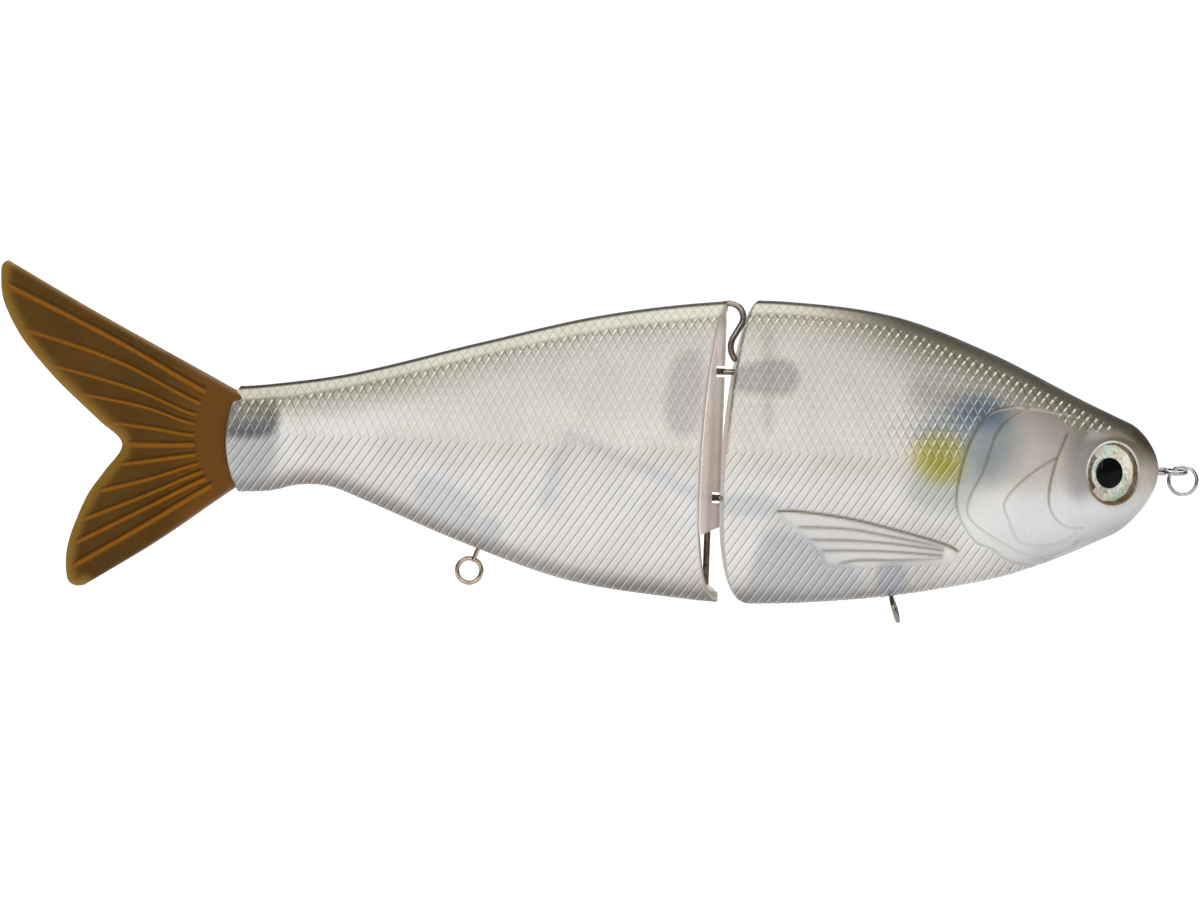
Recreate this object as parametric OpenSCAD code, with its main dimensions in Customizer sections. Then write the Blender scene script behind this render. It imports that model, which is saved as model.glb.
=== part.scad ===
// Single-joint swimbait: two hollow hard-plastic body sections that swing on an upright
// pin, a soft forked tail, a line tie with a split ring and two swivelling hook hangers.
// Millimetres. +X leads out of the snout, +Y is the fish's left side and +Z is up.
// The origin is the centre of the line tie's eye. A station is a distance behind the snout.

/* [Body] */
// Greatest thickness of the body, side to side
body_w = 25.6; // [24:0.2:27]
// Wall thickness of the hollow shells
wall = 1.6; // [1.3:0.1:1.8]
// Facets around a body section
ring_n = 36; // [24:4:48]
// Spacing of the body's sections along its length
station_step = 4; // [3:1:6]

/* [Hinge between the sections] */
// Diameter of the pin's wire
pin_d = 1.0; // [0.8:0.1:1.1]
// Radial clearance of the hinge eyes on the pin
eye_play = 0.15; // [0.1:0.05:0.2]
// Slope of the V-shaped groove in the front section
groove_slope = 0.375; // [0.35:0.005:0.4]
// Slope of the V-shaped tongue on the rear section
tongue_slope = 0.325; // [0.3:0.005:0.33]

/* [Eyes] */
// Diameter of an eye
eye_d = 9.4; // [8.6:0.2:9.8]
// Angle that an eye turns forward from straight out
eye_yaw = 30; // [25:1:35]

/* [Wire fittings] */
// Wire diameter of the line tie and the hook hangers
wire_d = 0.72; // [0.6:0.02:0.76]
// Radial clearance of a hanger's shank in its bush
swivel_play = 0.05; // [0.02:0.01:0.1]
// Mean diameter of a hook hanger's loop
hanger_loop_d = 3.8; // [3.4:0.1:4.2]
// Outer diameter of the split ring
split_ring_d = 4.95; // [4.9:0.01:5]

/* [Tail] */
// Thickness of the tail at its root
tail_root_t = 5.8; // [5.2:0.2:6]
// Thickness of the tail at its tips
tail_tip_t = 1.8; // [1.4:0.2:2.4]

/* [Hidden] */
$fn = 48;
LEFT = 1;
RIGHT = -1;

// Body outlines: [station, height] on the back and belly, [station, half-width] at the sides.
// The rounded snout comes from the *_round lengths, so the curves stay blunt at station 0.
back_curve = [[0, 5.3], [12, 10.5], [27, 17.5], [42, 22.6], [58, 24.3], [70, 23.9],
              [88, 21.1], [107, 16.1], [126, 10.8], [138, 8.7], [148, 7.6]];
belly_curve = [[0, -6.8], [10, -11.7], [18, -15.3], [27, -18.2], [44, -21.4], [63, -23],
               [76, -22.4], [92, -20.3], [108, -15.2], [124, -8.95], [129.2, -7.15],
               [134, -7.05], [138.5, -8.15], [143, -8.45], [148, -8.7]];
side_curve = [[0, 0.3], [6, 0.49], [12, 0.71], [20, 0.87], [32, 0.97], [48, 1], [62, 0.98],
              [74, 0.94], [92, 0.81], [110, 0.6], [128, 0.4], [138, 0.33], [148, 0.31]];
// Level of the widest line of a section
widest_curve = [[0, 0], [15, -1], [40, -4], [65, -5], [100, -3], [130, 0.5], [148, 0]];
back_round = 4.8;
belly_round = 7;
side_round = 5;
// Superellipse exponents above and below the widest line
back_power = 1.8;
belly_power = 2.4;
// Sections crowd together over the first stretch of the snout
snout_len = 12;
snout_rings = 9;
// The loft starts just behind the snout's tip
loft_start = 0.02;
body_end = 148;

// Line tie: the snout's tip lies this far behind the eye's centre
tie_reach = 2.65;
tie_r = 1.6;
tie_anchor = 12;
tie_anchor_r = 0.9;
anchor_t = 0.9;

// Split ring: its wire, its centre along X and Z and the spacing of its turns, in wires
split_wire = 0.56;
split_at = [1.15, -1.36];
split_pitch = 0.96;

// Hinge: stations of the groove's bottom, the tongue's ridge and the pin
groove_at = 63.5;
tongue_at = 68.1;
pin_at = 70.1;
pin_bottom = -21.3;
eye_levels = [13, -6.7];
eye_ring_r = pin_d / 2 + eye_play + pin_d / 2;
eye_anchor = 58;
eye_anchor_r = 1;
anchor_play = 0.2;
slot_half = pin_d / 2 + 0.6;
slot_play = 0.4;
slot_back = 69.7;

// The tongue ends above a recess that leaves the pin bare down to the belly lip
recess_back = 72.3;
recess_top_back = -13;
recess_top_front = -11.2;
recess_top_rise = 3;
recess_floor = -20;
// The floor slopes down ahead of the pin: drops at the first and last of its stations
recess_drops = [0.4, 1.2];
recess_floor_half = 1;
// Station ahead of everything that the recess opens into
recess_ahead = 60;

// Hooked end of the pin: a bend over the back, a straight and a reversed bend
hook_r = 2.2;
hook_level = 21.5;
hook_seat = 0.3;
hook_over = 30;
hook_straight = 2.2;
tip_r = 3;
tip_sweep = 70;
// The wire's stretches stop this far short of each other, and beads this much wider join them
wire_gap = 0.05;
arc_gap = 2;
bead = 1.12;

// Eyes
eye_at = [7.7, 6.9, -0.6];
pocket_depth = 1.1;
pocket_gap = 0.15;
iris_t = 0.6;
iris_base = 0.05 - pocket_depth;
lens_base = iris_base + iris_t + 0.05;
lens_rise = 1.5;
lens_rim = 0.4;
lens_max = 4;

// Hook hangers: [station, height] where each leaves the belly, its lean toward the snout,
// the drop to the loop's centre and how far the loop is turned about its shank
front_hanger_at = [41.2, -20.7];
front_hanger_lean = 18;
front_hanger_drop = 2.5;
front_hanger_turn = 84;
rear_hanger_at = [105.6, -15.6];
rear_hanger_lean = -20;
rear_hanger_drop = 4.1;
rear_hanger_turn = 0;
hanger_head_r = 0.85;
hanger_head = [3.8, 4.6];
bush_r = 1.6;
bush_len = 5.4;
bush_proud = 0.2;
bush_floor = 0.5;
head_play = 0.1;
// Overlap of pieces of one solid
bite = 0.1;

// Cavities: the head ahead of the first and the tail behind the last are solid
front_cavity = 17;
rear_cavity_end = 130;

// Inner walls and pegs, as [station, height] points on the middle plane
web = 0.6;
peg = 1.4;
front_webs = [[[46.8, -24], [46.8, -8]], [[62.6, -24], [62.6, 20]]];
front_pegs = [[30, 10], [52, 18], [30, -12]];
rear_webs = [[97, -9], [94, 2], [89, 2], [72, -5.5]];
rear_pegs = [[84, 15], [84, -12], [118, 3]];
boss_r = 2.2;
boss_lead = 2;
boss_wall = 1.1;

// Ballast: outlines in the middle plane and thicknesses
front_ballast_outline = [[61.6, -18.9], [61.6, -13.5], [59.3, -11.2],
                         [50, -13.9], [47.8, -15.4], [47.8, -18.4]];
front_ballast_t = 9;
rear_ballast_at = [112, -7.4];
rear_ballast_size = [8.2, 5, 4.6];
rear_ballast_tilt = 24;

// Clearance of fixed fittings in the shells
seat_gap = 0.06;

// Tail socket and joint. Steps of the plug: [station, half-width, bottom, top].
tail_plug_end = 146;
tail_axis_at = 148.1;
tail_gap = 0.25;
plug_steps = [[136.5, 1.9, -6, 5.4], [142.4, tail_root_t / 2 + 0.2, -7.4, 6.4]];
plug_reach = 160;
socket_play = 0.05;
tail_pegs_at = 139.4;
tail_peg_levels = [-3.4, 2.8];
peg_r = 1.1;
peg_play = 0.1;
rim_r = 19;
rim_at = 145.6;
// Thickness stations of the fin
tail_mid = [158, 3.2];
tail_tip_at = 183;

// Outline of the tail, [station, height], clockwise from the root's top.
tail_upper_edge = [[145, 7.9], [150.9, 10.7], [166.2, 18.7], [177.6, 25.2]];
tail_upper_tip = [[179.6, 26.2], [180.9, 25.9], [181.4, 24.6], [181.2, 21.6]];
tail_fork = [[179.2, 16.5], [175.2, 11.1], [169.4, 5.2], [162, -1.6],
             [165.2, -6.8], [168.2, -12.4], [169.4, -17]];
tail_lower_tip = [[169.9, -20.4], [169.6, -22.9], [168.3, -24], [166.5, -23.7]];
tail_lower_edge = [[161, -20.45], [153.7, -14.75], [147.5, -10.35], [145, -9]];

// ---- curves and the lofted body ----

// X of a station
function at(station) = -tie_reach - station;

// Slope of a curve at its point i, from the points beside it
function slope(curve, i) =
    let (a = max(i - 1, 0), b = min(i + 1, len(curve) - 1))
    (curve[b][1] - curve[a][1]) / (curve[b][0] - curve[a][0]);

// Value at station s of the smooth curve through the points
function value(curve, s, i = 0) =
    i < len(curve) - 2 && s > curve[i + 1][0] ? value(curve, s, i + 1) :
    let (h = curve[i + 1][0] - curve[i][0], t = (s - curve[i][0]) / h)
    (1 + 2 * t) * (1 - t) * (1 - t) * curve[i][1] + t * (1 - t) * (1 - t) * h * slope(curve, i)
    + t * t * (3 - 2 * t) * curve[i + 1][1] - t * t * (1 - t) * h * slope(curve, i + 1);

// Rises from 0 to 1 over a length as a quarter ellipse does
function blunt(s, length) = s >= length ? 1 : sqrt(1 - pow(1 - s / length, 2));

function signed_pow(v, p) = sign(v) * pow(abs(v), p);

// Point at angle a of the section at station s, with every radius shrunk by inset
function skin_point(s, a, inset) =
    let (
        widest = value(widest_curve, s),
        up = sin(a) >= 0,
        power = 2 / (up ? back_power : belly_power),
        edge = up ? value(back_curve, s) * blunt(s, back_round)
                  : value(belly_curve, s) * blunt(s, belly_round),
        half = value(side_curve, s) * body_w / 2 * blunt(s, side_round)
    )
    [at(s), max(half - inset, 0.05) * signed_pow(cos(a), power),
     widest + (abs(edge - widest) - inset) * signed_pow(sin(a), power)];

function stations(first) = concat(
    [for (k = [1 : snout_rings]) snout_len * (1 - cos(90 * k / snout_rings)) + first],
    [for (s = [first + snout_len + station_step : station_step : body_end]) s],
    [body_end]);

// Closed solid through the sections from a station to the body's end
module loft(first, inset) {
    rows = stations(first);
    count = len(rows);
    points = [for (s = rows, k = [0 : ring_n - 1]) skin_point(s, 360 * k / ring_n, inset)];
    sides = [for (i = [0 : count - 2], k = [0 : ring_n - 1])
        let (a = i * ring_n + k, b = i * ring_n + (k + 1) % ring_n)
        each [[a, b, b + ring_n], [a, b + ring_n, a + ring_n]]];
    front_cap = [[for (k = [ring_n - 1 : -1 : 0]) k]];
    end_cap = [[for (k = [0 : ring_n - 1]) (count - 1) * ring_n + k]];
    polyhedron(points, concat(front_cap, sides, end_cap));
}

// ---- helpers ----

big = 400;
// Longer than any opening is deep and than half the body is wide
through = 60;

// Everything on one side of the middle plane
module half_space(side) {
    translate([-big / 2, side > 0 ? 0 : -big / 2, -big / 2])
        cube([big, big / 2, big]);
}

// V-shaped zone seen from above, ahead of the groove (forward) or behind the tongue
module v_zone(apex, rise, forward) {
    reach = through;
    linear_extrude(2 * through, center = true)
        polygon([[at(apex), 0], [at(apex) - reach * rise, reach],
                 [at(apex) + forward * big, reach], [at(apex) + forward * big, -reach],
                 [at(apex) - reach * rise, -reach]]);
}

// Rounded wall right across the body between two [station, height] points
module cross_wall(a, b, t) {
    hull()
        for (p = [a, b])
            translate([at(p[0]), 0, p[1]])
                rotate([90, 0, 0])
                    cylinder(r = t, h = through, center = true, $fn = 16);
}

// Hole for a hanger's bush
module bush_seat(place, lean) {
    on_hanger(place, lean)
        translate([0, 0, -bush_len])
            cylinder(r = bush_r + seat_gap, h = 2 * bush_len, $fn = 32);
}

// Boss around a hanger's bush
module bush_boss(place, lean) {
    r = bush_r + boss_wall;
    on_hanger(place, lean)
        translate([0, 0, -bush_len - boss_wall])
            cylinder(r = r, h = bush_len + 2 * boss_wall, $fn = 32);
}

// Bar along X between two stations
module bar(from, to, level, r) {
    translate([at(to), 0, level])
        rotate([0, 90, 0])
            cylinder(r = r, h = to - from, $fn = 32);
}

// Part of a ring of wire in the XZ plane, angles measured from +X toward +Z
module wire_arc(r, wire_r, start, sweep) {
    rotate([90, 0, 0])
        rotate([0, 0, start])
            rotate_extrude(angle = sweep)
                translate([r, 0])
                    circle(wire_r);
}

// Moves a piece drawn along +Z so that it leaves the belly at a hanger's place
module on_hanger(place, lean) {
    translate([at(place[0]), 0, place[1]])
        rotate([0, 180 - lean, 0])
            children();
}

// Moves a piece drawn facing +Z onto an eye
module on_eye(side) {
    translate([at(eye_at[0]), side * eye_at[1], eye_at[2]])
        rotate([0, 0, side * (90 - eye_yaw)])
            rotate([0, 90, 0])
                children();
}

// ---- front section ----

module front_outside() {
    intersection() {
        loft(loft_start, 0);
        v_zone(groove_at, groove_slope, 1);
    }
}

module front_hollow() {
    intersection() {
        loft(loft_start, wall);
        v_zone(groove_at - wall, groove_slope, 1);
        translate([at(front_cavity) - big, -big / 2, -big / 2])
            cube(big);
    }
}

// Bosses, webs and pegs inside the front shells
module front_bosses() {
    for (level = eye_levels)
        hull() {
            bar(eye_anchor - boss_lead, eye_anchor, level, boss_r);
            bar(groove_at, groove_at + boss_lead, level, boss_r);
        }
    for (w = front_webs)
        cross_wall(w[0], w[1], web);
    for (p = front_pegs)
        cross_wall(p, p, peg);
    bush_boss(front_hanger_at, front_hanger_lean);
}

// Everything cut out of the front shells: hinge eyes, line tie, eyes and hanger bush
module front_cuts() {
    for (level = eye_levels) {
        bar(eye_anchor, big, level, pin_d / 2 + seat_gap);
        bar(eye_anchor - anchor_t - anchor_play, eye_anchor, level, eye_anchor_r + seat_gap);
    }
    bar(-through, tie_anchor, 0, wire_d / 2 + seat_gap);
    bar(tie_anchor - anchor_play, tie_anchor + anchor_t, 0, tie_anchor_r + seat_gap);
    for (side = [LEFT, RIGHT])
        on_eye(side)
            translate([0, 0, -pocket_depth])
                cylinder(r = eye_d / 2 + pocket_gap, h = 2 * lens_max, $fn = 48);
    bush_seat(front_hanger_at, front_hanger_lean);
}

module front_shell(side) {
    color([0.85, 0.84, 0.81])
        intersection() {
            difference() {
                union() {
                    difference() {
                        front_outside();
                        front_hollow();
                    }
                    intersection() {
                        front_outside();
                        front_bosses();
                    }
                }
                front_cuts();
            }
            half_space(side);
        }
}

module front_shell_left() { front_shell(LEFT); }
module front_shell_right() { front_shell(RIGHT); }

module front_ballast() {
    color([0.42, 0.43, 0.45])
        rotate([90, 0, 0])
            linear_extrude(front_ballast_t, center = true)
                polygon([for (p = front_ballast_outline) [at(p[0]), p[1]]]);
}

// ---- eyes ----

module iris(side) {
    color([0.72, 0.7, 0.5])
        on_eye(side)
            translate([0, 0, iris_base])
                cylinder(r = eye_d / 2, h = iris_t);
}

module iris_left() { iris(LEFT); }
module iris_right() { iris(RIGHT); }

module eye_lens(side) {
    dome_r = (eye_d * eye_d / 4 + lens_rise * lens_rise) / (2 * lens_rise);
    color([0.85, 0.92, 0.95, 0.5])
        on_eye(side)
            intersection() {
                translate([0, 0, lens_base])
                    cylinder(r = eye_d / 2, h = lens_max);
                translate([0, 0, lens_base + lens_rim + lens_rise - dome_r])
                    sphere(dome_r, $fn = 96);
            }
}

module eye_lens_left() { eye_lens(LEFT); }
module eye_lens_right() { eye_lens(RIGHT); }

// ---- line tie, split ring and hinge eyes ----

// Wire eye that lies flat around the Z axis, on a headed shank that leads away along +X
module screw_eye(ring_r, wire_r, reach, head_r) {
    rotate_extrude()
        translate([ring_r, 0])
            circle(wire_r);
    translate([ring_r, 0, 0])
        rotate([0, 90, 0])
            cylinder(r = wire_r, h = reach - ring_r + anchor_t / 2);
    translate([reach, 0, 0])
        rotate([0, 90, 0])
            cylinder(r = head_r, h = anchor_t - bite);
}

module line_tie() {
    color([0.6, 0.6, 0.62])
        rotate([0, 0, 180])
            screw_eye(tie_r, wire_d / 2, tie_reach + tie_anchor, tie_anchor_r);
}

module hinge_eye(level) {
    color([0.6, 0.6, 0.62])
        translate([at(pin_at), 0, level])
            screw_eye(eye_ring_r, pin_d / 2, pin_at - eye_anchor + bite, eye_anchor_r);
}

module hinge_eye_upper() { hinge_eye(eye_levels[0]); }
module hinge_eye_lower() { hinge_eye(eye_levels[1]); }

// Two turns of flattened wire, hanging through the line tie
module split_ring() {
    color([0.66, 0.66, 0.68])
        translate([split_at[0], 0, split_at[1]])
            rotate([90, 0, 0])
                for (turn = [-0.5, 0.5])
                    rotate_extrude()
                        translate([(split_ring_d - split_wire) / 2, turn * split_wire * split_pitch])
                            circle(split_wire / 2);
}

// ---- hook hangers ----

module bush(place, lean) {
    shank_r = wire_d / 2 + swivel_play;
    mouth = hanger_head[0] - 3 * head_play;
    color([0.72, 0.68, 0.55])
        on_hanger(place, lean)
            difference() {
                translate([0, 0, -bush_len])
                    cylinder(r = bush_r, h = bush_len + bush_proud);
                translate([0, 0, -mouth - bush_floor])
                    cylinder(r = shank_r, h = 2 * bush_len);
                translate([0, 0, -bush_len + bush_floor])
                    cylinder(r = hanger_head_r + head_play, h = bush_len - bush_floor - mouth);
            }
}

module hanger(place, lean, drop, turn) {
    ring_r = hanger_loop_d / 2;
    color([0.5, 0.47, 0.42])
        on_hanger(place, lean) {
            translate([0, 0, -hanger_head[1]])
                cylinder(r = hanger_head_r, h = hanger_head[1] - hanger_head[0]);
            translate([0, 0, -hanger_head[0] - bite])
                cylinder(r = wire_d / 2, h = hanger_head[0] + bite + drop - ring_r);
            translate([0, 0, drop])
                rotate([90, 0, turn])
                    rotate_extrude()
                        translate([ring_r, 0])
                            circle(wire_d / 2);
        }
}

module front_hanger_bush() { bush(front_hanger_at, front_hanger_lean); }
module front_hanger() {
    hanger(front_hanger_at, front_hanger_lean, front_hanger_drop, front_hanger_turn);
}
module rear_hanger_bush() { bush(rear_hanger_at, rear_hanger_lean); }
module rear_hanger() {
    hanger(rear_hanger_at, rear_hanger_lean, rear_hanger_drop, rear_hanger_turn);
}

// ---- rear section ----

module rear_outside() {
    intersection() {
        loft(loft_start, 0);
        v_zone(tongue_at, tongue_slope, -1);
        translate([at(rim_at) + rim_r, 0, 0])
            rotate([90, 0, 0])
                rotate([0, 0, 90])
                    linear_extrude(2 * through, center = true)
                        union() {
                            circle(rim_r, $fn = 120);
                            translate([-big / 2, -big])
                                square(big);
                        }
    }
}

module rear_hollow() {
    difference() {
        intersection() {
            loft(loft_start, wall);
            v_zone(tongue_at + wall * 1.05, tongue_slope, -1);
            translate([at(rear_cavity_end), -big / 2, -big / 2])
                cube(big);
        }
        translate([at(recess_back + wall), -through / 2, recess_top_back + 1 - through])
            cube([through, through, through]);
    }
}

// Bosses, webs and pegs inside the rear shells
module rear_bosses() {
    hull()
        for (level = [recess_top_front, through])
            translate([at(pin_at + 0.4), 0, level])
                cylinder(r = pin_d / 2 + wall, h = wall, $fn = 32);
    for (i = [0 : len(rear_webs) - 2])
        cross_wall(rear_webs[i], rear_webs[i + 1], web);
    for (p = rear_pegs)
        cross_wall(p, p, peg);
    bush_boss(rear_hanger_at, rear_hanger_lean);
}

// Space for the tail's plug, seen from above, with its own clearance
module plug_zone(gap) {
    for (step = plug_steps)
        translate([at(plug_reach), -step[1] - gap, step[2] - gap])
            cube([plug_reach - step[0] + gap, 2 * (step[1] + gap), step[3] - step[2] + 2 * gap]);
}

// Everything cut out of the rear shells: pin, hook slot, recess, eye slots, tail socket and bush
module rear_cuts() {
    pin_gap = pin_d / 2 + seat_gap;
    translate([at(pin_at), 0, pin_bottom])
        cylinder(r = pin_gap, h = through, $fn = 32);
    translate([at(pin_at) - pin_gap, -pin_gap, hook_level - hook_seat])
        cube([through, 2 * pin_gap, through]);
    rotate([90, 0, 0])
        linear_extrude(2 * through, center = true)
            polygon([[at(recess_back), recess_top_back], [at(tongue_at), recess_top_front],
                     [at(recess_ahead), recess_top_front + recess_top_rise],
                     [at(recess_ahead), recess_floor - recess_drops[1]],
                     [at(pin_at - recess_floor_half), recess_floor - recess_drops[0]],
                     [at(pin_at + recess_floor_half), recess_floor],
                     [at(recess_back), recess_floor]]);
    for (level = eye_levels) {
        translate([at(slot_back), -through / 2, level - slot_half])
            cube([through, through, 2 * slot_half]);
        translate([at(pin_at), 0, level - slot_half])
            cylinder(r = eye_ring_r + pin_d / 2 + slot_play, h = 2 * slot_half, $fn = 48);
    }
    difference() {
        plug_zone(socket_play);
        tail_pegs(peg_r);
    }
    bush_seat(rear_hanger_at, rear_hanger_lean);
}

// Pegs across the tail socket that keep the plug in
module tail_pegs(r) {
    for (level = tail_peg_levels)
        translate([at(tail_pegs_at), 0, level])
            rotate([90, 0, 0])
                cylinder(r = r, h = through, center = true, $fn = 32);
}

module rear_shell(side) {
    color([0.85, 0.84, 0.81])
        intersection() {
            difference() {
                union() {
                    difference() {
                        rear_outside();
                        rear_hollow();
                    }
                    intersection() {
                        rear_outside();
                        rear_bosses();
                    }
                }
                rear_cuts();
            }
            half_space(side);
        }
}

module rear_shell_left() { rear_shell(LEFT); }
module rear_shell_right() { rear_shell(RIGHT); }

// Straight pin with its upper end bent over into a hook. Its straight and bent stretches
// stop just short of each other and a bead joins them.
module hinge_pin() {
    r = pin_d / 2;
    foot = pin_bottom + bite;
    bend_end = [hook_r + hook_r * cos(hook_over), hook_level - hook_r * sin(hook_over)];
    along = [-sin(hook_over), -cos(hook_over)];
    tip_start = bend_end + hook_straight * along;
    tip_centre = tip_start + tip_r * [cos(hook_over), -sin(hook_over)];
    color([0.45, 0.42, 0.4])
        translate([at(pin_at), 0, 0]) {
            translate([0, 0, foot])
                cylinder(r = r, h = hook_level - foot - wire_gap);
            translate([hook_r, 0, hook_level])
                wire_arc(hook_r, r, arc_gap - hook_over, 180 + hook_over - 2 * arc_gap);
            translate([bend_end[0] + wire_gap * along[0], 0, bend_end[1] + wire_gap * along[1]])
                rotate([0, 180 + hook_over, 0])
                    cylinder(r = r, h = hook_straight - 2 * wire_gap);
            translate([tip_centre[0], 0, tip_centre[1]])
                wire_arc(tip_r, r, 180 - hook_over + arc_gap, tip_sweep - arc_gap);
            for (p = [[0, hook_level], bend_end, tip_start])
                translate([p[0], 0, p[1]])
                    sphere(r * bead);
        }
}

module rear_ballast() {
    color([0.42, 0.43, 0.45])
        translate([at(rear_ballast_at[0]), 0, rear_ballast_at[1]])
            rotate([0, rear_ballast_tilt, 0])
                cube(rear_ballast_size, center = true);
}

// ---- tail ----

// Plug that the shells grip, with the seat that the fin bends in
module tail_root() {
    color([0.55, 0.4, 0.12])
        difference() {
            intersection() {
                plug_zone(0);
                translate([at(tail_plug_end), -through / 2, -through / 2])
                    cube(through);
            }
            tail_pegs(peg_r + peg_play);
            translate([at(tail_axis_at), 0, -through / 2])
                cylinder(r = tail_root_t / 2 + tail_gap, h = through);
        }
}

module tail_fin() {
    outline = concat(tail_upper_edge, tail_upper_tip, tail_fork, tail_lower_tip, tail_lower_edge);
    root_r = tail_root_t / 2;
    taper = [[tail_axis_at, root_r], [tail_mid[0], tail_mid[1] / 2], [tail_tip_at, tail_tip_t / 2]];
    color([0.6, 0.42, 0.12])
        intersection() {
            rotate([90, 0, 0])
                linear_extrude(through, center = true)
                    polygon([for (p = outline) [at(p[0]), p[1]]]);
            union() {
                translate([at(tail_axis_at), 0, -through])
                    cylinder(r = root_r, h = 2 * through);
                translate([0, 0, -through])
                    linear_extrude(2 * through)
                        polygon(concat([for (p = taper) [at(p[0]), p[1]]],
                                       [for (i = [2 : -1 : 0]) [at(taper[i][0]), -taper[i][1]]]));
            }
        }
}

front_shell_left();
front_shell_right();
iris_left();
iris_right();
eye_lens_left();
eye_lens_right();
line_tie();
split_ring();
hinge_eye_upper();
hinge_eye_lower();
front_ballast();
front_hanger_bush();
front_hanger();
rear_shell_left();
rear_shell_right();
hinge_pin();
rear_ballast();
rear_hanger_bush();
rear_hanger();
tail_root();
tail_fin();
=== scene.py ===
"""Looks of the single-joint swimbait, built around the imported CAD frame.

Lengths in this script are millimetres until a mesh is made. A station is a distance behind
the snout, the way the CAD source counts it, and every curve that the body's skin follows is
repeated from there.
"""

import math

import bmesh
import bpy
import numpy as np
from mathutils import Matrix, Vector


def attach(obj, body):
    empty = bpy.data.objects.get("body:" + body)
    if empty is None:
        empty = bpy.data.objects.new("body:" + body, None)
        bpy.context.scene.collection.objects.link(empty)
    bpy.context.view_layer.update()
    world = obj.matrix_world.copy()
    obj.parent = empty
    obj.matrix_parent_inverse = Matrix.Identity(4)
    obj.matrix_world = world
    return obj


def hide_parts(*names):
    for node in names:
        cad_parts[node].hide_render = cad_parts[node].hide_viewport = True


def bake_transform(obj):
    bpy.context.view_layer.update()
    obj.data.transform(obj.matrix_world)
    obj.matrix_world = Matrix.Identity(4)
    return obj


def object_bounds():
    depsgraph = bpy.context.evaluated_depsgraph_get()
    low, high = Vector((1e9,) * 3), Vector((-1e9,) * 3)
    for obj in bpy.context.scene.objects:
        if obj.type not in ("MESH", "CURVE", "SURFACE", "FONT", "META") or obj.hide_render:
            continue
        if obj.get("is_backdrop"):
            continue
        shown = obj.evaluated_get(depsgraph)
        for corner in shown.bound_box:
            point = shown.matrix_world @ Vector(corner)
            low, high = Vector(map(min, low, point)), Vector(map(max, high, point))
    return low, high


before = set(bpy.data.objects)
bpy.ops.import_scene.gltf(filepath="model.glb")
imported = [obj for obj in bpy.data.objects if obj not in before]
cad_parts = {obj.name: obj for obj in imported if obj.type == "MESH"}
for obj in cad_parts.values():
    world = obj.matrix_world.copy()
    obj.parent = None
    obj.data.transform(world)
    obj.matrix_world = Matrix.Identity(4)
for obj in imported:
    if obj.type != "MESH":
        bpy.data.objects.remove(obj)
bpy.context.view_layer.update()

MM = 0.001
SIDES = {"left": 1, "right": -1}

# ---- what the body's skin follows, as in the CAD source ----

TIE_REACH = 2.65
BODY_W = 25.6
BACK = [[0, 5.3], [12, 10.5], [27, 17.5], [42, 22.6], [58, 24.3], [70, 23.9],
        [88, 21.1], [107, 16.1], [126, 10.8], [138, 8.7], [148, 7.6]]
BELLY = [[0, -6.8], [10, -11.7], [18, -15.3], [27, -18.2], [44, -21.4], [63, -23], [76, -22.4],
         [92, -20.3], [108, -15.2], [124, -8.95], [129.2, -7.15], [134, -7.05], [138.5, -8.15],
         [143, -8.45], [148, -8.7]]
SIDE = [[0, 0.3], [6, 0.49], [12, 0.71], [20, 0.87], [32, 0.97], [48, 1], [62, 0.98],
        [74, 0.94], [92, 0.81], [110, 0.6], [128, 0.4], [138, 0.33], [148, 0.31]]
WIDEST = [[0, 0], [15, -1], [40, -4], [65, -5], [100, -3], [130, 0.5], [148, 0]]
BACK_ROUND, BELLY_ROUND, SIDE_ROUND = 4.8, 7, 5
BACK_POWER, BELLY_POWER = 1.8, 2.4

GROOVE_AT, GROOVE_SLOPE = 63.5, 0.375
TONGUE_AT, TONGUE_SLOPE = 68.1, 0.325
PIN_AT = 70.1
RECESS_BACK = 72.3
RIM_R, RIM_AT = 19, 145.6
EYE_AT = [7.7, 6.9, -0.6]
EYE_YAW = math.radians(30)
EYE_R = 4.7
POCKET_DEPTH, POCKET_BROW = 1.1, 0.12
POCKET_GAP, POCKET_SNAP = 0.15, 0.13
EYE_LEVELS = [13, -6.7]

# ---- where the main view is taken from ----

VIEW_CENTRE = [-89.95, 0, 0.08]
VIEW_WIDTH = 187.2
VIEW_DISTANCE = 1400
VIEW_YAW = math.radians(0.8)
VIEW_ROLL = math.radians(2.1)


def at(station):
    """X of a station."""
    return -TIE_REACH - station


def curve_value(curve, s):
    """Value at stations s of the smooth curve through the points."""
    x, v = np.array(curve, float).T
    n = len(x)
    before = np.maximum(np.arange(n) - 1, 0)
    after = np.minimum(np.arange(n) + 1, n - 1)
    slope = (v[after] - v[before]) / (x[after] - x[before])
    i = np.clip(np.searchsorted(x, s, side="left") - 1, 0, n - 2)
    h = x[i + 1] - x[i]
    t = (s - x[i]) / h
    return ((1 + 2 * t) * (1 - t) ** 2 * v[i] + t * (1 - t) ** 2 * h * slope[i]
            + t * t * (3 - 2 * t) * v[i + 1] - t * t * (1 - t) * h * slope[i + 1])


def blunt(s, length):
    """Rises from 0 to 1 over a length as a quarter ellipse does."""
    return np.sqrt(np.clip(1 - np.clip(1 - s / length, 0, 1) ** 2, 0, 1))


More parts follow.
